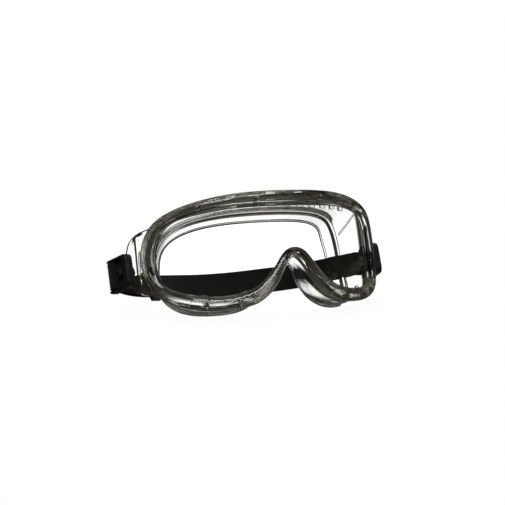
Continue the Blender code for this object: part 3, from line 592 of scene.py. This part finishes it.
# ------------------------------------------------------------------- soft frame
def profile(i):
    """Closed cross-section of the soft frame at station i."""
    width = station(i)[2]
    deep = groove(i)
    groove_front = GAP - LENS_SET
    groove_rear = -(LENS_SET + LENS_T + GAP)

    def at(across, ahead):
        return rim_point(i, across, ahead)

    fold, lip_end = seal_point(i), seal_inner(i)
    top = wall_top(i)                                        # wall's outside at the bead
    low = at(width - WALL_INSET - WALL_T, -BEAD_D)           # wall's inside at the bead
    wall = fold - top
    # bead at the fold: centred on the wall's thickness, standing proud of it
    run = unit(wall)
    inward = square_to(low - top, run)
    size = min(1.0, max(0.6, np.linalg.norm(lip_end - fold) / 8.0))
    r1, r2, half = FOLD_R * size, EDGE_R * max(0.75, size), LIP_T / 2
    c1 = fold + inward * WALL_T / 2 - run * r1
    lip = unit(lip_end - c1)
    c2 = lip_end - lip * r2
    out = square_to(run - inward, lip)
    lip_start, lip_stop = c1 + lip * (r1 + 0.25), c2 - lip * (r2 + 0.1)
    inside = c1 - run * (r1 * 1.3) + inward * WALL_T / 2 - low
    edge = min(1.2, 0.3 * deep)
    return [
        # face of the rim, from its inner edge outwards
        at(0.0, groove_front), at(0.0, -0.9), at(0.12 * width, 0.2), at(0.35 * width, 1.2),
        at(0.62 * width, 1.3), at(0.86 * width, 0.4), at(width, -1.3), at(width - 0.1, -3.8),
        # outside of the wall
        top, top + wall * 0.36, top + wall * 0.72,
        # fold bead
        c1 + r1 * (-0.75 * inward - 0.66 * run), c1 - r1 * inward,
        c1 + r1 * (-0.7 * inward + 0.7 * run),
        # lip, round its edge bead and back
        lip_start + out * half, lip_stop + out * half,
        c2 + out * r2, c2 + 0.7 * r2 * (out + lip), c2 + lip * r2,
        c2 + 0.7 * r2 * (lip - out), c2 - out * r2,
        lip_stop - out * half, lip_start - out * half,
        c1 + r1 * inward, c1 + r1 * (0.75 * inward - 0.66 * run),
        # inside of the wall
        low + inside * 0.66, low + inside * 0.32,
        low + (at(0, -BEAD_D) - at(1, -BEAD_D)) * 0.35,
        # rear of the bead and the lens groove
        at(edge + 0.4, -BEAD_D - 0.1), at(edge, -BEAD_D + 0.5),
        at(edge, groove_rear), at(deep, groove_rear), at(deep, groove_front)]


def rounded(pts, limit):
    """Cuts every corner of a closed outline, by at most limit along each side."""
    p = np.array(pts)
    following = np.roll(p, -1, 0)
    side = following - p
    length = np.linalg.norm(side, axis=1, keepdims=True)
    cut = np.minimum(0.25, limit / np.maximum(length, 1e-9))
    return np.stack([p + side * cut, following - side * cut], 1).reshape(-1, 3)


def build_shell():
    rows, uv = [], []
    run = 0.0
    last = None
    for i in range(N):
        ring = rounded(rounded(profile(i), 0.8), 0.3)
        rows.append(ring)
        mid = rim_point(i, 3.0, 0.0)
        run += 0.0 if last is None else float(np.linalg.norm(mid - last))
        last = mid
        steps = np.linalg.norm(np.diff(ring, axis=0), axis=1)
        girth = np.concatenate([[0], np.cumsum(steps)])
        # U = 1 for 100 mm along the rim, V = 1 for 10 mm round the section
        uv += [(run * 0.01, g * 0.1) for g in girth]
    return piece("frame_shell", *loft(rows), PVC, uv=uv)


# ------------------------------------------------------------------- strap lugs
def ear_outer(y):
    return EAR_X + FLARE * (y - EAR_Y)


def resampled(points, count):
    """count points evenly spread over the curve through the points."""
    curve = open_spline(points, 1.0)
    share = np.linspace(0, 1, len(curve))
    return [[np.interp(k / (count - 1), share, curve[:, c]) for c in (0, 1)]
            for k in range(count)]


def ear_row(root, tip):
    """Closed row of points from the rim to the free edge and back along the inside."""
    face_r = LENS_R - 1.0
    angle = math.asin(root[0] / LENS_R) - 2.6 / LENS_R
    p0 = np.array([face_r * math.sin(angle), LENS_R - face_r * math.cos(angle), root[1]])
    leave = np.array([math.cos(angle), math.sin(angle), 0])
    y_tip = max(tip[0], p0[1] + 4.0)
    y_join = min(53.5, y_tip - 1.5)
    z_join = root[1] + (tip[1] - root[1]) * (y_join - p0[1]) / (y_tip - p0[1])

    def lug_x(y):
        """From the rim's cylinder over to the flared face, as the row gets longer."""
        rim_x = math.sqrt(max(0.0, face_r * face_r - (LENS_R - y)**2))
        f = min(1.0, max(0.0, (y_tip - 44.0) / 9.0))
        f = f * f * (3 - 2 * f)
        return ear_outer(y) * f + rim_x * (1 - f)

    p2 = np.array([lug_x(y_join), y_join, z_join])
    p3 = np.array([lug_x(y_tip), y_tip, tip[1]])
    p1 = p0 + leave * np.linalg.norm(p2 - p0) * 0.45
    p1[2] = (p0[2] + p2[2]) / 2
    flat = np.array([COS_FLARE, -SIN_FLARE, 0])      # normal of the flared face
    outer, inner = [], []
    for t in (0.0, 0.15, 0.3, 0.45, 0.6, 0.72, 0.85, 0.94):
        q = (1 - t)**2 * p0 + 2 * t * (1 - t) * p1 + t * t * p2
        d = 2 * (1 - t) * (p1 - p0) + 2 * t * (p2 - p1)
        normal = unit(unit(np.array([d[1], -d[0], 0])) * (1 - t) + flat * t)
        outer.append(q)
        inner.append(q - normal * EAR_T)
    for t in (0.0, 0.5, 0.93):
        q = p2 * (1 - t) + p3 * t
        outer.append(q)
        inner.append(q - flat * EAR_T)
    # the free edge is rounded over
    outer.append(p3 - flat * EAR_T * 0.28)
    inner.append(p3 - flat * EAR_T * 0.72)
    return outer + inner[::-1]


def ear(side):
    """Curved lug: leaves the rim along the lens curve, then flares to the clip."""
    count = 33
    rows = [ear_row(root, tip)
            for root, tip in zip(resampled(EAR_ROOT, count), resampled(EAR_TIP, count))]
    # soften the top and bottom edges of the lug
    first = [(p + q) / 2 for p, q in zip(rows[0], rows[1])]
    last = [(p + q) / 2 for p, q in zip(rows[-1], rows[-2])]
    verts, faces = capped([first] + rows[1:-1] + [last])
    return [(side * v[0], v[1], v[2]) for v in verts], faces


# ------------------------------------------------------------------------- ribs
# Wall rib: CAD station, share of the way back to the seal; lug rib: Y, Z
WALL_RIB, WALL_RIB_R = ((11.0, 0.04), (11.8, 0.3), (12.6, 0.56), (13.4, 0.84)), 0.9
LUG_RIB, LUG_RIB_R = ((48.2, 13.5), (49.0, 6.5), (49.2, -1.0), (48.4, -8.5)), 0.7


def wall_at(k, t):
    """Outside of the wall at CAD station k, t of the way back to the seal."""
    return between(k * RATIO, lambda i: wall_top(i) + (seal_point(i) - wall_top(i)) * t)


def frame_ribs():
    ribs = []
    for side, _ in SIDES:
        # a rib runs down the side wall from the brow corner of the bead
        ribs.append(rib([wall_at(side * k, t) for k, t in WALL_RIB], WALL_RIB_R))
        # and an upright rib stands on the lug where it leaves the rim
        ribs.append(rib([(side * (ear_outer(y) - 0.1), y, z) for y, z in LUG_RIB], LUG_RIB_R))
    return ribs


# ------------------------------------------------------------ holes in the frame
# Slots through the wall: middle stations, half length in stations, and the
# shares of the way back to the seal between which they lie
WALL_SLOTS = (((0.47, 1.70, 2.15), 0.15, 0.205, 0.232),      # brow
              ((9.15, 10.5, 11.85), 0.2, 0.18, 0.28))        # cheek


def pivot_hole(side):
    x_in, x_out = 80, 104
    return rod((side * x_in, PIVOT_Y, PIVOT_Z), (side * x_out, PIVOT_Y, PIVOT_Z),
               [(0, PIVOT_HOLE_R), (x_out - x_in, PIVOT_HOLE_R)], 40)


def wall_slot(k0, k1, t0, t1, reach=4.0):
    """Cutter from fine station k0 to k1, reaching out on both sides of the wall."""
    rows = []
    for k in (k0, (k0 + k1) / 2, k1):
        top, rear = between(k, wall_top), between(k, seal_point)
        a, b = top + (rear - top) * t0, top + (rear - top) * t1
        along = (between(k + RATIO, lambda i: rim_point(i, 5, -BEAD_D))
                 - between(k - RATIO, lambda i: rim_point(i, 5, -BEAD_D)))
        out = unit(np.cross(rear - top, along))
        rows.append([a + out * reach, b + out * reach, b - out * reach, a - out * reach])
    return capped(rows)


def stud_rod(k, radii):
    """Turned piece on the stud axis at fine station k, measured from STUD_AHEAD."""
    start, end = [between(k, lambda i: rim_point(i, STUD_U, ahead))
                  for ahead in (STUD_AHEAD, -16.0)]
    return rod(start, end, radii, 28, (0.1, 0, 1))


def stud_hole(k):
    shoulder = 3.9
    return stud_rod(k, [(0.0, STUD_HEAD_R + GAP), (shoulder, STUD_HEAD_R + GAP),
                        (shoulder, STUD_R + GAP),
                        (STUD_AHEAD + BAFFLE_REAR + 1.0, STUD_R + GAP)])


def stud(name, k):
    """Domed pin through the rim bead and a vent baffle."""
    end = STUD_AHEAD + BAFFLE_REAR + 0.4
    # distance and share of the head's radius
    head = ((2.35, 0.18), (2.38, 0.42), (2.48, 0.68), (2.66, 0.88), (2.9, 1), (3.45, 1),
            (3.6, 0.94))
    shank = [(3.6, STUD_R), (end - 0.6, STUD_R), (end - 0.2, STUD_R * 0.9),
             (end, STUD_R * 0.6)]
    body = stud_rod(k, [(d, STUD_HEAD_R * share) for d, share in head] + shank)
    register(piece(name + "_pin", *body, VENT, smooth=40), name)


def station_at(angle):
    """Fine station where the rim's outer edge is at this angle from the middle."""
    s = math.radians(angle) * LENS_R
    for i in range(0, 6 * SUB):
        s0, s1 = arc(rim_out[i][0]), arc(rim_out[i + 1][0])
        if s0 <= s <= s1:
            return i + (s - s0) / (s1 - s0)


shell = build_shell()
tools = [(piece("lug_tool", *merged([ear(1), ear(-1)])), 'UNION'),
         (piece("rib_tool", *merged(frame_ribs())), 'UNION')]
frame_cuts = [pivot_hole(side) for side, _ in SIDES]
for slots, half_length, t0, t1 in WALL_SLOTS:
    for k in slots:
        for m in (k, -k):
            frame_cuts.append(wall_slot((m - half_length) * SUB, (m + half_length) * SUB,
                                        t0, t1))
for place, stations in (("top", [station_at(angle) for angle in TOP_STUDS]),
                        ("bottom", [k * SUB for k in BOTTOM_STUDS])):
    for k, kind in zip(stations, ("inner", "outer")):
        for side, tag in SIDES:
            frame_cuts.append(stud_hole(side * k))
            stud("vent_stud_%s_%s_%s" % (place, kind, tag), side * k)
tools.append((piece("cut_tool", *merged(frame_cuts)), 'DIFFERENCE'))
for tool, operation in tools:
    boolean(shell, tool, operation)
bake(shell)
for tool, _ in tools:
    bpy.data.objects.remove(tool, do_unlink=True)
register(shell, "frame_body")


# -------------------------------------------------------------------- lens
def lens_mesh(step=4.5):
    """Front and rear face over a grid of points, joined round the edge."""
    edge = []
    for i in range(N):
        (s, z), (ds, dz), _ = station(i)
        across = groove(i) - 0.4
        edge.append((s + ds * across, z + dz * across))
    ex, ez = np.array(edge).T
    ex2, ez2 = np.roll(ex, -1), np.roll(ez, -1)
    rise = np.where(ez2 == ez, 1e-9, ez2 - ez)
    inner = []
    for s in np.arange(-90, 90.1, step):
        for z in np.arange(-24, 34, step):
            # inside the edge, and clear of it
            crossed = ((ez > z) != (ez2 > z)) & (s < (ex2 - ex) * (z - ez) / rise + ex)
            if crossed.sum() % 2 and np.hypot(ex - s, ez - z).min() > 2.4:
                inner.append((float(s), float(z)))
    pts = [Vector(p) for p in edge + inner]
    edges = [(k, (k + 1) % N) for k in range(N)]
    flat, _, tris, _, _, _ = delaunay_2d_cdt(pts, edges, [list(range(N))], 1, 1e-6)
    m = len(flat)
    verts = [on_lens(p[0], p[1], ahead)
             for ahead in (-LENS_SET, -LENS_SET - LENS_T) for p in flat]
    faces = [tuple(f) for f in tris] + [tuple(m + k for k in reversed(f)) for f in tris]
    uses = {}
    for f in tris:
        for k in range(len(f)):
            e = (f[k], f[(k + 1) % len(f)])
            uses.setdefault(tuple(sorted(e)), []).append(e)
    for e in uses.values():
        if len(e) == 1:
            a, b = e[0]
            faces.append((b, a, m + a, m + b))
    return verts, faces


register(piece("lens_panel", *lens_mesh(), LENS, smooth=30), "lens")

# ------------------------------------------------ carried-over CAD pieces
# names, material, bevel width, bevel segments, bevel angle limit in degrees
for names, mat, width, segments, angle in (
        (("top_vent_baffle", "bottom_vent_baffle_left", "bottom_vent_baffle_right"),
         VENT, 0.15, 2, 38.0),
        (("strap_clip_left", "strap_clip_right"), NYLON, 0.35, 3, 30.0),
        (("strap_keeper",), NYLON, 0.45, 3, 30.0)):
    for name in names:
        ob = nodes[name]
        ob.data.materials.clear()
        ob.data.materials.append(mat)
        bevel(ob, width, segments, angle)

# ------------------------------------------------------------ swivel pieces
CLIP_X = ear_outer(PIVOT_Y) + WASHER_T                   # clip's inner face at the pivot
EAR_INNER_X = ear_outer(PIVOT_Y) - EAR_T / COS_FLARE     # ear's inner face there
RIVET_SEAT_X = CLIP_X + 3.7                              # underside of the rivet's head
RIVET_HEAD_H, RIVET_R = 1.4, 2.0
# distance from the top of the rivet's head, radius
RIVET_HEAD = [(0.0, 1.2), (0.02, 2.1), (0.18, 2.7), (0.45, 3.1), (0.8, 3.32), (1.2, 3.4),
              (RIVET_HEAD_H, 3.3)]


def rivet(side):
    tip = RIVET_HEAD_H + RIVET_SEAT_X - EAR_INNER_X + 3.2
    return rod((side * (RIVET_SEAT_X + RIVET_HEAD_H), PIVOT_Y, PIVOT_Z),
               (side * 80, PIVOT_Y, PIVOT_Z),
               RIVET_HEAD + [(RIVET_HEAD_H, RIVET_R), (tip - 0.4, RIVET_R), (tip, 1.6)], 40)


def disc(side, x0, x1, r, flare0, flare1):
    """Pierced disc on the pivot from its inner face x0 to its outer face x1;
    flare0 and flare1 are 1 where the face follows the ear's flare, 0 where it's square."""
    chamfer, bore = 0.18, PIVOT_HOLE_R
    section = ((x0 + chamfer, bore, flare0), (x0, bore + chamfer, flare0),
               (x0, r - chamfer, flare0), (x0 + chamfer, r, flare0),
               (x1 - chamfer, r, flare1), (x1, r - chamfer, flare1),
               (x1, bore + chamfer, flare1), (x1 - chamfer, bore, flare1))
    rows = []
    for k in range(48):
        t = 2 * math.pi * k / 48
        cy, cz = math.cos(t), math.sin(t)
        rows.append([(side * (x + flare * FLARE * rad * cy), PIVOT_Y + rad * cy,
                      PIVOT_Z + rad * cz) for x, rad, flare in section])
    return loft(rows)


for side, tag in SIDES:
    register(piece("swivel_rivet_" + tag, *rivet(side), PIN, smooth=40),
             "clip_rivet_" + tag)
    washer = disc(side, ear_outer(PIVOT_Y) + 0.1, CLIP_X - 0.65, 3.9, 1, 1)
    register(piece("swivel_washer_" + tag, *washer, VENT, smooth=50),
             "pivot_washer_" + tag)
    cap = disc(side, EAR_INNER_X - 2.4, EAR_INNER_X - 0.35, 3.6, 0, 1)
    register(piece("swivel_cap_" + tag, *cap, VENT, smooth=50),
             "rivet_cap_" + tag)

# ---------------------------------------------------------------- headband
# The webbing's middle line at a clip: back from the pivot along the clip, and
# out from the clip's inner face.  Round the bar and out along the inside:
CLIP_INSIDE = ((5.95, 2.8), (6.0, 1.5), (6.9, 0.5), (8.1, 0.35), (10.2, 0.35), (12.0, 0.0))
# Folded end, over the outside of the bar:
CLIP_OUTSIDE = ((6.0, 4.15), (6.9, 5.1), (8.1, 5.25), (10.2, 5.25), (12.6, 4.2))
# Main run from the right clip to the left clip: X, Y, Z from the lens apex along
# the row frame's axes, and lean of the webbing in degrees
STRAP_RUN = ((-94.6, 79.2, -19.6, 32), (-88.2, 82.3, -22.8, 46), (-81, 84.6, -25.0, 52),
             (-74.0, 86.25, -25.9, 50), (-65.5, 88.5, -26.6, 48), (-57.0, 90.75, -27.3, 47),
             (-44, 93.0, -28.6, 40), (-25, 94.4, -29.8, 33), (0, 94.2, -29.6, 27),
             (25, 92.4, -28.2, 15), (51, 88.4, -25.6, 4), (74, 82.6, -21.6, 0),
             (88, 78.4, -18.8, 6), (95.0, 76.2, -17.6, 14))
CLIP_LEAN = -PITCH - CLIP_TILT


def clip_point(side, back, out):
    """Row-frame point at mid-height of a clip, in the clip's own measures."""
    x = side * (CLIP_X + back * SIN_FLARE + out * COS_FLARE)
    y = back * COS_FLARE - out * SIN_FLARE
    tilt = math.radians(CLIP_TILT)
    return to_row_frame((x, PIVOT_Y + y * math.cos(tilt), PIVOT_Z + y * math.sin(tilt)))


def leaned(angle):
    """Direction across the webbing's width when it leans back by the angle."""
    a = math.radians(angle)
    return np.array([0.0, math.sin(a), math.cos(a)])


def main_run():
    """Rows (point, width direction, thickness direction) from clip to clip."""
    apex = np.array([0, APEX_Y, APEX_Z])
    line = [(*clip_point(-1, *p), CLIP_LEAN) for p in CLIP_INSIDE]
    line += [(*(apex + np.array([x, y, z])), lean) for x, y, z, lean in STRAP_RUN]
    line += [(*clip_point(1, *p), CLIP_LEAN) for p in CLIP_INSIDE[::-1]]
    line = open_spline(line, 3.6)
    points = line[:, :3]
    rows = []
    for k in range(len(line)):
        along = tangent(points, k)
        across = square_to(leaned(line[k][3]), along)
        rows.append((points[k], across, np.cross(along, across)))
    return rows


def tail(rows, count, side):
    """Folded end, rows (point, width direction): over the outside of the clip bar,
    then back along the main run as far as its row number count."""
    first = [clip_point(side, *p) for p in CLIP_OUTSIDE]
    rows = rows if side < 0 else rows[::-1]
    at_clip = clip_point(side, 10.2, 0.35)
    skip = [k for k, r in enumerate(rows) if np.linalg.norm(r[0] - at_clip) > 6.0][0]
    back = []
    for p, across, normal in rows[skip:count]:
        behind = 1 if np.dot(normal, (0, 1, 0)) > 0 else -1
        back.append((p + normal * behind * (STRAP_T + 0.45), across))
    line = open_spline(np.array(first + [p for p, _ in back]), 3.4)
    out = []
    for k in range(len(line)):
        nearest = int(np.argmin([np.linalg.norm(line[k] - p) for p, _ in back]))
        # turns from the clip's lean to the main run's
        f = 0.0
        if k >= 4:
            f = min(1.0, max(0.0, np.linalg.norm(line[k] - first[3]) - 3.0) / 8.0)
        across = leaned(CLIP_LEAN) * (1 - f) + back[nearest][1] * f
        out.append((line[k], square_to(across, tangent(line, k))))
    return out


def smooth_rows(rows, per):
    """Points and width directions refined along the webbing, per steps for each row."""
    p = np.array([r[0] for r in rows])
    w = np.array([r[1] for r in rows])
    out_p, out_w = [], []
    n = len(p)
    for k in range(n - 1):
        a, b, c, d = (p[max(k - 1, 0)], p[k], p[k + 1], p[min(k + 2, n - 1)])
        for m in range(per):
            t = m / per
            out_p.append(0.5 * ((2 * b) + (-a + c) * t + (2 * a - 5 * b + 4 * c - d) * t * t
                                + (-a + 3 * b - 3 * c + d) * t**3))
            out_w.append(w[k] * (1 - t) + w[k + 1] * t)
    out_p.append(p[-1])
    out_w.append(w[-1])
    return np.array(out_p), np.array(out_w)


def web_section(m):
    """Half thickness across the webbing at m in -1..1: cords, thicker selvedges,
    rounded sides."""
    e = abs(m)
    side = math.sqrt(max(0.0, 1 - max(0.0, (e - 0.955) / 0.045)**2))
    cords = 0.055 * math.cos(2 * math.pi * m * STRAP_W / 2 / 1.15)
    selvedge = 0.06 * math.exp(-((e - 0.93) / 0.03)**2)
    return (STRAP_T / 2 - 0.06 + cords + selvedge) * (0.25 + 0.75 * side)


def build_webbing():
    main = main_run()
    start = tail(main, count=24, side=-1)[::-1]
    end = tail(main, count=13, side=1)
    middle = [(p, across) for p, across, _ in main]
    points, widths = smooth_rows(start + middle + end, 6)
    steps = np.linalg.norm(np.diff(points, axis=0), axis=1)
    run = np.concatenate([[0], np.cumsum(steps)])
    # places across the width, -1..1, closer together towards the sides
    count = 76
    even = [2 * j / (count - 1) - 1 for j in range(count)]
    places = [math.sin(math.pi / 2 * m) * 0.35 + m * 0.65 for m in even]
    rows, uv = [], []
    for k in range(len(points)):
        along = tangent(points, k)
        across = square_to(widths[k], along)
        normal = np.cross(along, across)
        pick = 0.02 * math.cos(2 * math.pi * run[k] / 1.5)
        ring = []
        for face, order in ((1, places), (-1, places[::-1])):
            for m in order:
                ring.append(points[k] + across * (m * STRAP_W / 2)
                            + normal * (face * (web_section(m) + pick)))
                uv.append((run[k], m * STRAP_W / 2))
        rows.append(ring)
    return piece("headband_webbing", *capped(rows), WEB, own_frame=False, smooth=60, uv=uv)


register(build_webbing(), "headband_strap", carrier="clip_right")


# --------------------------------------------------------------- stage
def floor_material():
    """White to the camera with a faint contact shade, clear to all other rays."""
    m, nt, surface, out = new_material("pale_floor")
    nt.nodes.remove(surface)
    ao = node(nt, "AmbientOcclusion", samples=12, Distance=0.03)
    glow = node(nt, "Emission", Strength=remap(nt, ao.outputs["AO"], given=(0.0, 1.0),
                                               to=(0.965, WHITE)))
    through = node(nt, "BsdfTransparent")
    path = node(nt, "LightPath")
    mixed = mix_shader(nt, path.outputs["Is Camera Ray"], through.outputs[0], glow.outputs[0])
    nt.links.new(mixed, out.inputs["Surface"])
    return m


me = bpy.data.meshes.new("floor")
me.from_pydata([(-4, -4, 0), (4, -4, 0), (4, 4, 0), (-4, 4, 0)], [], [(0, 1, 2, 3)])
floor = bpy.data.objects.new("floor", me)
me.materials.append(floor_material())
scene.collection.objects.link(floor)

# Screen behind the object: level, and the tangents from the view axis between
# which it fades out sideways and upwards; DARK is the level all round
SCREEN, SCREEN_X, SCREEN_Y, DARK = 1.22, (0.19, 0.27), (0.11, 0.19), 0.036
# Round bright patches in the camera's view space: direction (x right, y up,
# z away), inner and outer angle in degrees, level
PATCHES = (((0.1, 1.0, 0.25), 14.0, 19.0, 0.9),
           ((-0.9, 0.55, -0.35), 10.0, 15.0, 0.14),
           ((0.2, -1.0, 0.45), 10.0, 20.0, 0.35))


def studio_world():
    """Bright-field studio: a white screen straight behind the object as the camera
    sees it, dark beyond the screen's edge, soft patches overhead and low down.  Clear
    plastic then shows as white where it is flat and dark where it is thick and bent."""
    world = bpy.data.worlds.new("studio")
    scene.world = world
    world.use_nodes = True
    nt = world.node_tree
    background = nt.nodes["Background"]
    tc = node(nt, "TexCoord")
    view = node(nt, "VectorMath", tc.outputs["Camera"], operation='NORMALIZE').outputs[0]
    part = node(nt, "SeparateXYZ", view)

    def ramp(source, given, to):
        return remap(nt, source, given, to, interpolation_type='SMOOTHSTEP')

    # the screen: a rectangle round the view axis, its edges given as tangents
    away = maths(nt, 'MAXIMUM', part.outputs["Z"], 0.02)
    sides = []
    for axis, fade in (("X", SCREEN_X), ("Y", SCREEN_Y)):
        slope = maths(nt, 'ABSOLUTE', maths(nt, 'DIVIDE', part.outputs[axis], away))
        sides.append(ramp(slope, fade, (1.0, 0.0)))
    level = maths(nt, 'MULTIPLY', maths(nt, 'MULTIPLY', *sides), SCREEN)
    for direction, inner, outer, bright in PATCHES:
        facing = node(nt, "VectorMath", view, Vector(direction).normalized(),
                      operation='DOT_PRODUCT')
        cosines = (math.cos(math.radians(outer)), math.cos(math.radians(inner)))
        patch = ramp(facing.outputs["Value"], cosines, (0.0, bright))
        level = maths(nt, 'MAXIMUM', level, patch)
    # the dark surroundings are a little warm, the screen is neutral
    tone = mix_colour(nt, ramp(level, (0.0, 0.9), (0.0, 1.0)),
                      (1.0, 0.95, 0.78, 1), (1, 1, 1, 1))
    fill(nt, background, Color=tone, Strength=maths(nt, 'ADD', level, DARK))
    plain = node(nt, "Background", Color=(1, 1, 1, 1), Strength=WHITE)
    path = node(nt, "LightPath")
    mixed = mix_shader(nt, path.outputs["Is Camera Ray"], background.outputs[0],
                       plain.outputs[0])
    nt.links.new(mixed, nt.nodes["World Output"].inputs["Surface"])


def soft_box(name, where, size, power, glint=True):
    """Area light aimed at the middle of the goggles; metres and watts."""
    light = bpy.data.lights.new(name, 'AREA')
    light.shape = 'RECTANGLE'
    light.size, light.size_y = size
    light.energy = power
    ob = bpy.data.objects.new(name, light)
    ob.location = where
    aim = Vector((0, 0, 0.04)) - Vector(where)
    ob.rotation_euler = aim.to_track_quat('-Z', 'Y').to_euler()
    ob.visible_camera = False
    ob.visible_transmission = False
    ob.visible_glossy = glint
    scene.collection.objects.link(ob)


studio_world()
soft_box("key_box", where=(-0.7, -0.8, 1.1), size=(0.7, 0.5), power=9.0)
soft_box("fill_box", where=(0.9, -0.5, 0.5), size=(0.5, 0.5), power=2.0, glint=False)

# ------------------------------------------------------------------ camera
AZIMUTH, ELEVATION = math.radians(-28.3), math.radians(5.5)
DISTANCE = 0.703                           # metres from the lens apex
AIM_RIGHT, AIM_UP = -0.02827254, 0.00109884    # metres, aim point from the apex in view
SENSOR, FOCAL = 36.0, 77.53188             # mm


def build_camera():
    back = Vector((math.sin(AZIMUTH) * math.cos(ELEVATION),
                   -math.cos(AZIMUTH) * math.cos(ELEVATION), math.sin(ELEVATION)))
    right = Vector((math.cos(AZIMUTH), math.sin(AZIMUTH), 0))
    up = back.cross(right)
    apex = Vector((0, APEX_Y * MM, APEX_Z * MM))
    aim = apex + right * AIM_RIGHT + up * AIM_UP
    cam = bpy.data.cameras.new("camera")
    cam.sensor_width = SENSOR
    cam.lens = FOCAL
    cam.clip_start = 0.01
    ob = bpy.data.objects.new("camera", cam)
    ob.location = apex + back * DISTANCE
    ob.rotation_mode = 'QUATERNION'
    ob.rotation_quaternion = (ob.location - aim).to_track_quat('Z', 'Y')
    scene.collection.objects.link(ob)
    scene.camera = ob


build_camera()
scene.view_settings.view_transform = 'Standard'
scene.view_settings.look = 'None'
scene.cycles.max_bounces = 32
scene.cycles.transmission_bounces = 32
scene.cycles.transparent_max_bounces = 16
scene.cycles.glossy_bounces = 8
scene.render.film_transparent = False
